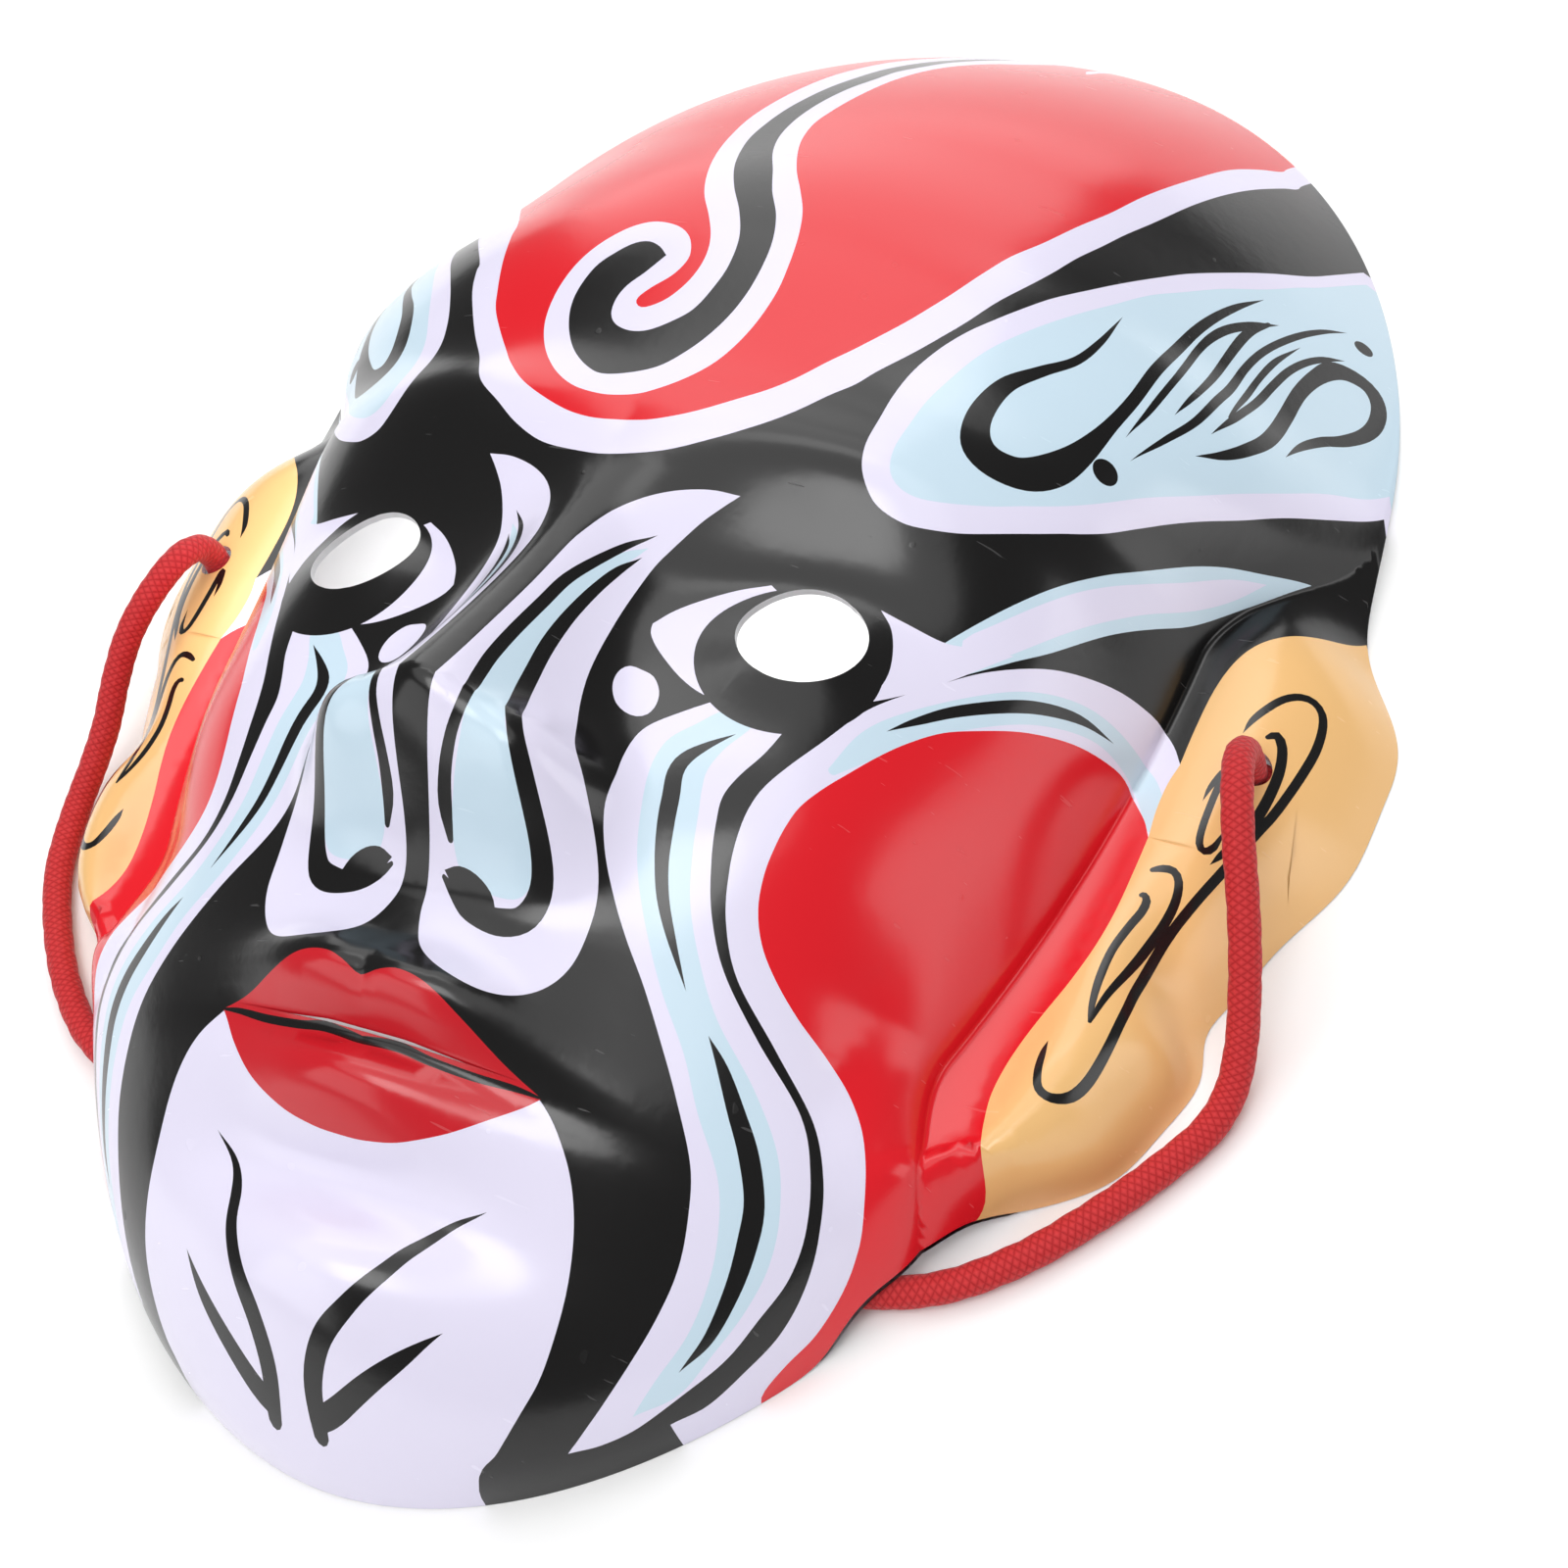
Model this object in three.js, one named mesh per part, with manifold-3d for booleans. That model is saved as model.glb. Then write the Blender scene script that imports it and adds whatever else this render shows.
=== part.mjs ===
// A Chinese opera mask of thin pressed plastic, lying face up on its rim, with the round
// elastic cord that it hangs from. Sizes are in millimetres: X to the mask's left, Y to the
// crown, Z out of the face. The rim is the plane z = 0.

import * as THREE from "three";
import { mergeVertices } from "three/addons/utils/BufferGeometryUtils.js";
import Module from "manifold-3d";

const wasm = await Module();
wasm.setup();

// Outline of the face: an egg, wider at the brow than at the chin
const HALF_WIDTH = 82.5;
const CROWN_LENGTH = 106.0;
const CHIN_LENGTH = 137.7;
const EGG_Y = 15.9;
const CROWN_POWER = 2.15;
const CHIN_POWER = 1.93;
const TEMPLE_PINCH = 0.8;

// Sheet and depth of the pressing
const WALL = 1.0;
const FACE_DEPTH = 47.0;
const FOREHEAD_DEPTH = 49.2;
const EAR_NARROWING = 15.5;
const SIDE_FULLNESS = 0.8;

// Ears, pressed from the same sheet: how far each lobe stands out past the egg
const EAR_TOP_OUT = 9.8;
const EAR_MIDDLE_OUT = 6.0;
const EAR_LOBE_OUT = 8.4;
const EAR_ROOT_X = 67.0;
const EAR_HEIGHT = 12.0;
const EAR_SWELL = 8.0;
const EAR_ROOT_SOFTNESS = 0.08; // share of the ear's width over which its root turns up
const EAR_ROOT_FADE = 8; // least width of the ear's fall to the rim, where it runs out into the jaw
const ROOT_BLEND = 15; // height over which cheek and ear run into each other
const JAW_BLEND = 5; // how much further they run together down at the jaw

// Nose, eyes, mouth and chin, laid out by thirds of the face
const THIRD = 61.0;
const BROW_Y = 0.5;
const NOSE_RISE = 19.0;
const NOSE_HALF_WIDTH = 13.0;
const EYE_X = 31.0;
const EYE_DROP = 20.0;
const MOUTH_DROP = 20.0;
const MOUTH_HALF_WIDTH = 24.0;
const LIP_RISE = 4.2;
const CHIN_DROP = 46.0;
const CHIN_RISE = 7.0;

// Holes
const EYE_HOLE_RADIUS = 7.5;
const CORD_RADIUS = 2.0;
const CORD_HOLE_CLEARANCE = 0.6;
const CORD_HOLE_X = 77.9;
const CORD_HOLE_Y = -6.2;

// Lifts in the rim at both jaws, where the cord passes under the edge
const ARCH_X = 60.0;
const ARCH_Y = -77.5;
const ARCH_HEIGHT = 5.6;
const ARCH_REACH = 12.5;

// Knots that keep the cord's ends behind the ears, and the gap to the cord's end
const KNOT_RADIUS = 3.9;
const KNOT_GAP = 0.3;

// How finely the shell and the cord are divided
const CENTRE_Y = -20.0;
const ANGLES = 84;
const RINGS = 20;
const CORD_SIDES = 8;
const CORD_STEPS = 60;

// The cord's way, from behind the left ear, over it, along the floor, under the jaw, across
// the hollow and back up to the other ear
const CORD_ROUTE = [
  [77.9, -6.2, 11.0],
  [77.9, -6.2, 14.0],
  [78.1, -7.4, 17.6],
  [78.8, -10.4, 20.4],
  [80.2, -15.0, 21.6],
  [82.0, -20.6, 20.4],
  [83.9, -26.0, 17.6],
  [85.4, -31.0, 14.0],
  [86.3, -35.3, 10.3],
  [86.9, -39.8, 6.4],
  [86.8, -44.4, 3.4],
  [85.6, -49.0, 2.2],
  [82.2, -55.2, 2.1],
  [76.4, -63.5, 2.1],
  [69.4, -71.5, 2.1],
  [61.5, -77.4, 2.1],
  [51.0, -80.5, 2.1],
  [30.0, -80.0, 2.1],
  [0.0, -78.5, 2.1],
  [-30.0, -80.0, 2.1],
  [-51.0, -80.5, 2.1],
  [-61.5, -77.4, 2.1],
  [-69.4, -71.5, 2.1],
  [-76.4, -63.5, 2.1],
  [-81.4, -55.5, 2.1],
  [-83.6, -49.5, 2.1],
  [-84.3, -44.3, 3.0],
  [-83.4, -39.4, 5.6],
  [-82.3, -34.4, 9.0],
  [-81.8, -28.8, 13.0],
  [-80.8, -23.4, 16.6],
  [-79.0, -17.4, 19.2],
  [-77.7, -11.4, 19.6],
  [-77.8, -7.6, 17.2],
  [-77.9, -6.2, 14.0],
  [-77.9, -6.2, 11.0],
];

const smooth = (t) => {
  const u = Math.min(Math.max(t, 0), 1);
  return u * u * (3 - 2 * u);
};
const bump = (x, y, cx, cy, rx, ry) => Math.exp(-(((x - cx) / rx) ** 2) - ((y - cy) / ry) ** 2);

// The larger of two heights, with the corner between them rounded over a band
function blendedMax(a, b, band) {
  if (band < 1e-6) return Math.max(a, b);
  const h = Math.min(Math.max(0.5 + (0.5 * (a - b)) / band, 0), 1);
  return b * (1 - h) + a * h + band * h * (1 - h);
}

// Half the egg's width at a height on the face
function eggHalfWidth(y) {
  const v = y - EGG_Y;
  const length = v > 0 ? CROWN_LENGTH : CHIN_LENGTH;
  const power = v > 0 ? CROWN_POWER : CHIN_POWER;
  const left = 1 - Math.abs(v / length) ** power;
  if (left <= 0) return 0;
  return HALF_WIDTH * left ** (1 / power) - TEMPLE_PINCH * Math.exp(-(((y - EGG_Y - 20) / 16) ** 2));
}

// How far the ear stands out past the egg
function earOut(y) {
  const lobe = (cy, reach, out, power) => out * Math.exp(-(Math.abs((y - cy) / reach) ** power));
  return lobe(0, 17, EAR_TOP_OUT, 3) + lobe(-25, 15, EAR_MIDDLE_OUT, 3) + lobe(-51, 12.5, EAR_LOBE_OUT, 4);
}

const outlineHalfWidth = (y) => {
  const egg = eggHalfWidth(y);
  return egg > 0 ? egg + earOut(y) : 0;
};

// The round front of the head, without features; below zero outside its own edge
function domeHeight(x, y) {
  const v = y - EGG_Y;
  const up = smooth((y + 18) / 56);
  const narrow = EAR_NARROWING * smooth((40 - y) / 32) * smooth((y + 80) / 26);
  const length = v > 0 ? CROWN_LENGTH : CHIN_LENGTH;
  const power = v > 0 ? CROWN_POWER : CHIN_POWER;
  const across = Math.abs(x / (HALF_WIDTH - narrow)) ** power;
  const reach = (across + Math.abs(v / length) ** power) ** (1 / power);
  if (reach >= 1) return -60 * (reach - 1);
  const depth = FACE_DEPTH + (FOREHEAD_DEPTH - FACE_DEPTH) * up;
  const full = SIDE_FULLNESS * smooth((66 - y) / 50) * smooth((y + 90) / 50);
  return depth * (1 - reach ** (2.25 - 0.1 * up + full)) ** (0.52 + 0.48 * smooth((y - 16) / 30));
}

// The ear: a low swelling that drops to the rim at its outer edge
function earHeight(x, y) {
  const outline = outlineHalfWidth(y);
  const root = Math.min(EAR_ROOT_X - 4 * (Math.max(-y, 0) / 60) ** 2, outline - EAR_ROOT_FADE);
  const t = (x - root) / (outline - root);
  const u = Math.min((t + Math.hypot(t, EAR_ROOT_SOFTNESS)) / 2, 1);
  const swell = EAR_HEIGHT + EAR_SWELL * u * (1 - u);
  const bowl = -2.2 * bump(x, y, 77, -34, 5, 8) + 1.4 * bump(x, y, 72, -52, 7, 8);
  return Math.max((swell + bowl) * (1 - u ** 3), 0) * earWindow(y);
}
const earWindow = (y) => smooth((42 - y) / 34) * smooth((y + 84) / 16);

// Nose, brows, eyelids, cheeks, lips and chin
function featureHeight(x, y) {
  const noseBase = BROW_Y - THIRD;
  const down = Math.min(Math.max((BROW_Y - 4 - y) / (THIRD - 18), 0), 1);
  const ridge = NOSE_RISE * down ** 1.2 * smooth((y - noseBase + 4) / 18);
  const ridgeWidth = 7 + (NOSE_HALF_WIDTH - 7) * down ** 2;
  const mouth = noseBase - MOUTH_DROP;
  const eye = BROW_Y - EYE_DROP;
  let z = ridge * Math.exp(-((x / ridgeWidth) ** 2));
  z += 8 * bump(x, y, NOSE_HALF_WIDTH + 0.5, noseBase + 10, 6.2, 6.5);
  z += 3.2 * bump(x, y, 0, BROW_Y - 4, 20, 16);
  z -= 7.0 * bump(x, y, EYE_X - 2, eye + 3, 15, 9);
  z += 6.5 * bump(x, y, EYE_X, eye, 12, 8.5);
  z += 3.0 * bump(x, y, EYE_X - 1, BROW_Y + 3, 22, 7);
  z += 3.6 * bump(x, y, 40, noseBase + 18, 18, 15);
  z += 4.5 * bump(x, y, 0, mouth + 4, MOUTH_HALF_WIDTH + 2, 14);
  z += LIP_RISE * bump(x, y, 6, mouth + 5.5, MOUTH_HALF_WIDTH / 2, 4.2);
  z += (LIP_RISE + 0.4) * bump(x, y, 0, mouth - 6, MOUTH_HALF_WIDTH * 0.58, 4.8);
  z -= 2.4 * bump(x, y, 0, mouth, MOUTH_HALF_WIDTH * 0.88, 2.3);
  z -= 3.0 * bump(x, y, 0, mouth - 14, 20, 5);
  z += CHIN_RISE * bump(x, y, 0, noseBase - CHIN_DROP, 20, 9.5);
  return z;
}

// How softly the head and the ear run into each other at a point
function blendBand(x, y) {
  const along = smooth((70 - y) / 40) * smooth((y + 86) / 16);
  return (ROOT_BLEND + JAW_BLEND * smooth((-40 - y) / 26)) * along * smooth((x - 40) / 15);
}

// Height of the mask's front above the rim plane
function frontHeight(x, y) {
  const side = Math.abs(x);
  const dome = domeHeight(side, y);
  const ear = side > EAR_ROOT_X - 30 ? earHeight(side, y) : 0;
  const base = blendedMax(dome, ear, blendBand(side, y));
  return Math.max(base + featureHeight(side, y) * smooth(dome / 6), 0);
}

const rimLift = (x, y) => {
  const off = Math.hypot(Math.abs(x) - ARCH_X, y - ARCH_Y);
  return ARCH_HEIGHT * Math.exp(-((off / ARCH_REACH) ** 4));
};

// Distance from the centre to the shell's edge in one direction
function edgeDistance(dx, dy) {
  const inside = (r) => Math.abs(r * dx) < outlineHalfWidth(CENTRE_Y + r * dy);
  const standing = (r) => {
    const x = r * dx;
    const y = CENTRE_Y + r * dy;
    const lift = rimLift(x, y);
    return inside(r) && (lift < 0.02 || frontHeight(x, y) > lift);
  };
  let low = 30;
  let high = CROWN_LENGTH + CHIN_LENGTH;
  for (let i = 0; i < 40; i += 1) {
    const middle = (low + high) / 2;
    if (standing(middle)) low = middle;
    else high = middle;
  }
  return low;
}

function frontNormal(x, y) {
  const e = 0.2;
  const gx = (frontHeight(x + e, y) - frontHeight(x - e, y)) / (2 * e);
  const gy = (frontHeight(x, y + e) - frontHeight(x, y - e)) / (2 * e);
  return new THREE.Vector3(-gx, -gy, 1).normalize();
}

// The sheet: a front made of rings round a point between nose and brow, the same rings set
// back by the wall, and a narrow flat rim between the two
function makeShell() {
  const positions = [];
  const faces = [];
  const add = (x, y, z) => {
    positions.push(x, y, z);
    return positions.length / 3 - 1;
  };
  const centreNormal = frontNormal(0, CENTRE_Y);
  const centreZ = frontHeight(0, CENTRE_Y);
  const frontCentre = add(0, CENTRE_Y, centreZ);
  const backCentre = add(0, CENTRE_Y - centreNormal.y * WALL, centreZ - centreNormal.z * WALL);
  const front = [];
  const back = [];
  for (let ring = 1; ring <= RINGS; ring += 1) {
    const share = 1 - (1 - ring / RINGS) ** 1.22;
    front.push([]);
    back.push([]);
    for (let i = 0; i < ANGLES; i += 1) {
      const angle = Math.PI / 2 + (2 * Math.PI * i) / ANGLES;
      const dx = Math.abs(Math.cos(angle)) < 1e-9 ? 0 : Math.cos(angle);
      const dy = Math.sin(angle);
      const edge = edgeDistance(dx, dy);
      const x = dx * edge * share;
      const y = CENTRE_Y + dy * edge * share;
      const last = ring === RINGS;
      if (last) {
        const lift = rimLift(x, y);
        const inset = Math.min(WALL * 1.3, 1.9);
        front[ring - 1].push(add(x, y, lift));
        back[ring - 1].push(add(x - dx * inset, y - dy * inset, lift));
      } else {
        const z = frontHeight(x, y);
        const n = frontNormal(x, y);
        front[ring - 1].push(add(x, y, z));
        const low = Math.max(z - n.z * WALL, Math.min(0.3, z / 2));
        back[ring - 1].push(add(x - n.x * WALL, y - n.y * WALL, low));
      }
    }
  }
  for (let i = 0; i < ANGLES; i += 1) {
    const next = (i + 1) % ANGLES;
    faces.push(frontCentre, front[0][i], front[0][next]);
    faces.push(backCentre, back[0][next], back[0][i]);
    for (let ring = 0; ring < RINGS - 1; ring += 1) {
      const a = front[ring][i];
      const b = front[ring + 1][i];
      const c = front[ring + 1][next];
      const d = front[ring][next];
      faces.push(a, b, c, a, c, d);
      const e = back[ring][i];
      const f = back[ring + 1][i];
      const g = back[ring + 1][next];
      const h = back[ring][next];
      faces.push(e, g, f, e, h, g);
    }
    const outer = front[RINGS - 1];
    const inner = back[RINGS - 1];
    faces.push(outer[i], inner[i], inner[next], outer[i], inner[next], outer[next]);
  }
  return solid(positions, faces);
}

const solid = (positions, faces) =>
  new wasm.Manifold(
    new wasm.Mesh({
      numProp: 3,
      vertProperties: new Float32Array(positions),
      triVerts: new Uint32Array(faces),
    })
  );

function cutter(x, y, radius, sides) {
  return wasm.Manifold.cylinder(120, radius, radius, sides, true).translate([x, y, 0]);
}

function solidOf(geometry) {
  const plain = geometry.clone();
  plain.deleteAttribute("normal");
  plain.deleteAttribute("uv");
  const merged = mergeVertices(plain, 1e-4);
  return solid(Array.from(merged.attributes.position.array), Array.from(merged.index.array));
}

function geometryOf(manifold) {
  const mesh = manifold.getMesh();
  const geometry = new THREE.BufferGeometry();
  geometry.setAttribute("position", new THREE.BufferAttribute(new Float32Array(mesh.vertProperties), 3));
  geometry.setIndex(new THREE.BufferAttribute(new Uint32Array(mesh.triVerts), 1));
  geometry.computeVertexNormals();
  return geometry;
}

function makeMask() {
  let shell = makeShell();
  for (const side of [-1, 1]) {
    shell = shell.subtract(cutter(side * EYE_X, BROW_Y - EYE_DROP, EYE_HOLE_RADIUS, 32));
    const holeRadius = CORD_RADIUS + CORD_HOLE_CLEARANCE;
    shell = shell.subtract(cutter(side * CORD_HOLE_X, CORD_HOLE_Y, holeRadius, 16));
  }
  return geometryOf(shell);
}

function makeCord() {
  const points = CORD_ROUTE.map((p) => new THREE.Vector3(p[0], p[1], p[2]));
  const path = new THREE.CatmullRomCurve3(points, false, "centripetal");
  const section = new THREE.Shape();
  for (let i = 0; i < CORD_SIDES; i += 1) {
    const angle = (2 * Math.PI * i) / CORD_SIDES;
    const x = CORD_RADIUS * Math.cos(angle);
    const y = CORD_RADIUS * Math.sin(angle);
    if (i === 0) section.moveTo(x, y);
    else section.lineTo(x, y);
  }
  section.closePath();
  const tube = new THREE.ExtrudeGeometry(section, { steps: CORD_STEPS, extrudePath: path });
  return geometryOf(solidOf(tube));
}

// A knot behind the ear, just clear of the cord's end
function makeKnot(side) {
  const end = CORD_ROUTE[side > 0 ? 0 : CORD_ROUTE.length - 1];
  const knot = new THREE.SphereGeometry(KNOT_RADIUS, 14, 10);
  knot.rotateX(Math.PI / 2);
  knot.translate(end[0], end[1], end[2] - KNOT_GAP - KNOT_RADIUS);
  return geometryOf(solidOf(knot));
}

function piece(name, geometry, color, roughness) {
  const material = new THREE.MeshStandardMaterial({ color, roughness, metalness: 0 });
  const mesh = new THREE.Mesh(geometry, material);
  mesh.name = name;
  return mesh;
}

const mask = new THREE.Group();
mask.name = "opera_mask";
mask.add(piece("mask_shell", makeMask(), "#e0dced", 0.25));
mask.add(piece("elastic_cord", makeCord(), "#c4181f", 0.8));
mask.add(piece("knot_left", makeKnot(1), "#c4181f", 0.8));
mask.add(piece("knot_right", makeKnot(-1), "#c4181f", 0.8));

export default mask;
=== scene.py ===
import math

import bpy
import numpy as np
from bpy.props import FloatProperty, FloatVectorProperty, PointerProperty
from mathutils import Matrix, Vector
from mathutils.geometry import delaunay_2d_cdt


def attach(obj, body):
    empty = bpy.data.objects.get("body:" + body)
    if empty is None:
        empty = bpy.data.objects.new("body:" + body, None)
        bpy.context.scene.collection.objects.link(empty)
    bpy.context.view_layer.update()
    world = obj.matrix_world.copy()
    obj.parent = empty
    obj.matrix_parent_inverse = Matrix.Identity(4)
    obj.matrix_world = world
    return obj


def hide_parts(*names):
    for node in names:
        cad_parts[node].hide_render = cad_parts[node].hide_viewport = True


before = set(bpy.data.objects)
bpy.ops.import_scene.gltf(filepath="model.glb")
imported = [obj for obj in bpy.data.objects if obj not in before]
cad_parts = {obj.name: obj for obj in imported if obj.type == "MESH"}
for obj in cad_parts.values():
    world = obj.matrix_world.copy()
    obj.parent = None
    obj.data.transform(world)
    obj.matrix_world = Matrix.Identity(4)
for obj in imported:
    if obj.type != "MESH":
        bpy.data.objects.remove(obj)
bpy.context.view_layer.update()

bl_info = {
    "name": "Opera mask",
    "version": (1, 0, 0),
    "blender": (4, 5, 0),
    "location": "View3D > Sidebar > Opera mask",
    "description": "A moulded opera mask with its painted pattern, elastic cord and studio",
    "category": "Object",
}

MM = 0.001

# ---------------------------------------------------------------- the sheet's form, in mm

HALF_WIDTH, CROWN_LENGTH, CHIN_LENGTH, EGG_Y = 82.5, 106.0, 137.7, 15.9
CROWN_POWER, CHIN_POWER, TEMPLE_PINCH = 2.15, 1.93, 0.8
FACE_DEPTH, FOREHEAD_DEPTH, EAR_NARROWING, SIDE_FULLNESS = 47.0, 49.2, 15.5, 0.8
EAR_TOP_OUT, EAR_MIDDLE_OUT, EAR_LOBE_OUT = 9.8, 6.0, 8.4
EAR_ROOT_X, EAR_HEIGHT, EAR_SWELL = 67.0, 12.0, 8.0
EAR_ROOT_SOFTNESS, EAR_ROOT_FADE, ROOT_BLEND, JAW_BLEND = 0.08, 8.0, 15.0, 5.0
THIRD, BROW_Y, NOSE_RISE, NOSE_HALF_WIDTH = 61.0, 0.5, 19.0, 13.0
EYE_X, EYE_DROP, MOUTH_DROP, MOUTH_HALF_WIDTH = 31.0, 20.0, 20.0, 24.0
LIP_RISE, CHIN_DROP, CHIN_RISE = 4.2, 46.0, 7.0
ARCH_X, ARCH_Y, ARCH_HEIGHT, ARCH_REACH = 60.0, -77.5, 5.6, 12.5
CENTRE_Y = -20.0
CORD_HOLE_X, CORD_HOLE_Y = 77.9, -6.2
EYE_Y = BROW_Y - EYE_DROP
NOSE_BASE_Y = BROW_Y - THIRD
MOUTH_Y = NOSE_BASE_Y - MOUTH_DROP

# Soft mounds and hollows of one half: rise, centre x and y, reach across and along
FEATURES = (
    (8, NOSE_HALF_WIDTH + 0.5, NOSE_BASE_Y + 10, 6.2, 6.5),  # wing of the nose
    (3.2, 0, BROW_Y - 4, 20, 16),  # between the brows
    (-7.0, EYE_X - 2, EYE_Y + 3, 15, 9),  # eye socket
    (6.5, EYE_X, EYE_Y, 12, 8.5),  # eyelid
    (3.0, EYE_X - 1, BROW_Y + 3, 22, 7),  # brow
    (3.6, 40, NOSE_BASE_Y + 18, 18, 15),  # cheek
    (4.5, 0, MOUTH_Y + 4, MOUTH_HALF_WIDTH + 2, 14),  # round the mouth
    (LIP_RISE, 6, MOUTH_Y + 5.5, MOUTH_HALF_WIDTH / 2, 4.2),  # upper lip
    (LIP_RISE + 0.4, 0, MOUTH_Y - 6, MOUTH_HALF_WIDTH * 0.58, 4.8),  # lower lip
    (-2.4, 0, MOUTH_Y, MOUTH_HALF_WIDTH * 0.88, 2.3),  # parting of the lips
    (-3.0, 0, MOUTH_Y - 14, 20, 5),  # under the lower lip
    (CHIN_RISE, 0, NOSE_BASE_Y - CHIN_DROP, 20, 9.5),  # chin
)
EAR_HOLLOW, EAR_LOBE = (-2.2, 77, -34, 5, 8), (1.4, 72, -52, 7, 8)

# How the sheet is divided: directions of the rim, rings inside it, lines along the ears' grooves
RIM_ANGLES, RIM_INSET, HALVINGS = 720, 1.3, 40
RIM_RINGS, LOOSE_INSET = (0.12, 0.35, 0.75, 1.3, 2.1), 2.9
GROOVE_SHARES = (0.9, 0.915, 0.93, 0.943, 0.954, 0.964, 0.973, 0.981, 0.989, 0.997, 1.01, 1.03)
GROOVE_STEP, POINT_GAP = 0.9, 0.55
HOLE_RINGS, HOLE_CLEAR = ((0.0, 0.45), (0.5, 0.6)), 1.0  # each ring's gap and point spacing
PLAN_X, PLAN_Y = 95, 125
# Where the back is set in: the slope's sampling, the least cover and the reach of the jaw arch
SLOPE_EDGE, SLOPE_STEP, LEAST_COVER, LEAST_LIFT, JAW_REACH = 0.16, 0.05, 0.35, 0.02, 20.0
HOLE_FADE, LOW_BACK = 3.0, 0.3


def smooth(t):
    t = np.clip(t, 0, 1)
    return t * t * (3 - 2 * t)


def mound(x, y, form):
    rise, cx, cy, across, along = form
    return rise * np.exp(-(((x - cx) / across) ** 2) - ((y - cy) / along) ** 2)


def blended_max(a, b, band):
    k = np.maximum(band, 1e-6)
    h = np.clip(0.5 + 0.5 * (a - b) / k, 0, 1)
    return b * (1 - h) + a * h + k * h * (1 - h)


def egg_length(y):
    above = y > EGG_Y
    return np.where(above, CROWN_LENGTH, CHIN_LENGTH), np.where(above, CROWN_POWER, CHIN_POWER)


def egg_half_width(y):
    length, power = egg_length(y)
    left = 1 - np.abs((y - EGG_Y) / length) ** power
    full = HALF_WIDTH * np.clip(left, 0, None) ** (1 / power)
    return np.where(left > 0, full - TEMPLE_PINCH * np.exp(-(((y - EGG_Y - 20) / 16) ** 2)), 0)


def ear_out(y):
    def lobe(cy, reach, out, power):
        return out * np.exp(-(np.abs((y - cy) / reach) ** power))

    top = lobe(0, 17, EAR_TOP_OUT, 3)
    return top + lobe(-25, 15, EAR_MIDDLE_OUT, 3) + lobe(-51, 12.5, EAR_LOBE_OUT, 4)


def outline_half_width(y):
    egg = egg_half_width(y)
    return np.where(egg > 0, egg + ear_out(y), 0)


def narrowing(y):
    return EAR_NARROWING * smooth((40 - y) / 32) * smooth((y + 80) / 26)


def dome_height(x, y):
    up = smooth((y + 18) / 56)
    narrow = narrowing(y)
    length, power = egg_length(y)
    across = np.abs(x / (HALF_WIDTH - narrow)) ** power
    r = (across + np.abs((y - EGG_Y) / length) ** power) ** (1 / power)
    depth = FACE_DEPTH + (FOREHEAD_DEPTH - FACE_DEPTH) * up
    full = SIDE_FULLNESS * smooth((66 - y) / 50) * smooth((y + 90) / 50)
    rest = np.clip(1 - np.minimum(r, 1) ** (2.25 - 0.1 * up + full), 0, None)
    return np.where(r >= 1, -60 * (r - 1), depth * rest ** (0.52 + 0.48 * smooth((y - 16) / 30)))


def ear_window(y):
    return smooth((42 - y) / 34) * smooth((y + 84) / 16)


def ear_height(x, y):
    outline = outline_half_width(y)
    root = np.minimum(EAR_ROOT_X - 4 * (np.maximum(-y, 0) / 60) ** 2, outline - EAR_ROOT_FADE)
    t = (x - root) / (outline - root)
    u = np.minimum((t + np.hypot(t, EAR_ROOT_SOFTNESS)) / 2, 1)
    bowl = mound(x, y, EAR_HOLLOW) + mound(x, y, EAR_LOBE)
    sheet = EAR_HEIGHT + EAR_SWELL * u * (1 - u) + bowl
    return np.maximum(sheet * (1 - u**3), 0) * ear_window(y)


def features(x, y):
    """Brows, nose, mouth and chin on plain thirds."""
    down = np.clip((BROW_Y - 4 - y) / (THIRD - 18), 0, 1)
    ridge = NOSE_RISE * down**1.2 * smooth((y - NOSE_BASE_Y + 4) / 18)
    ridge_width = 7 + (NOSE_HALF_WIDTH - 7) * down**2
    z = ridge * np.exp(-((x / ridge_width) ** 2))
    for form in FEATURES:
        z = z + mound(x, y, form)
    return z


def blend_band(x, y):
    along = smooth((70 - y) / 40) * smooth((y + 86) / 16)
    return (ROOT_BLEND + JAW_BLEND * smooth((-40 - y) / 26)) * along * smooth((x - 40) / 15)


def front_height(x, y):
    x = np.abs(x)
    dome = dome_height(x, y)
    ear = np.where(x > EAR_ROOT_X - 30, ear_height(x, y), 0)
    base = blended_max(dome, ear, blend_band(x, y))
    return np.maximum(base + features(x, y) * smooth(dome / 6), 0)


def rim_lift(x, y):
    off = np.hypot(np.abs(x) - ARCH_X, y - ARCH_Y)
    return ARCH_HEIGHT * np.exp(-((off / ARCH_REACH) ** 4))


def edge_distance(angle):
    """How far the sheet reaches from its centre in each direction."""
    dx, dy = np.cos(angle), np.sin(angle)
    low = np.full_like(angle, 30.0)
    high = np.full_like(angle, CROWN_LENGTH + CHIN_LENGTH)
    for _ in range(HALVINGS):
        middle = (low + high) / 2
        x, y = middle * dx, CENTRE_Y + middle * dy
        lift = rim_lift(x, y)
        inside = np.abs(x) < outline_half_width(y)
        standing = inside & ((lift < LEAST_LIFT) | (front_height(x, y) > lift))
        low, high = np.where(standing, middle, low), np.where(standing, high, middle)
    return low


# ---------------------------------------------------------------- the painted pattern, in mm

BLACK, RED, WHITE, BLUE, TAN, LIP, BARE = range(7)

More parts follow.
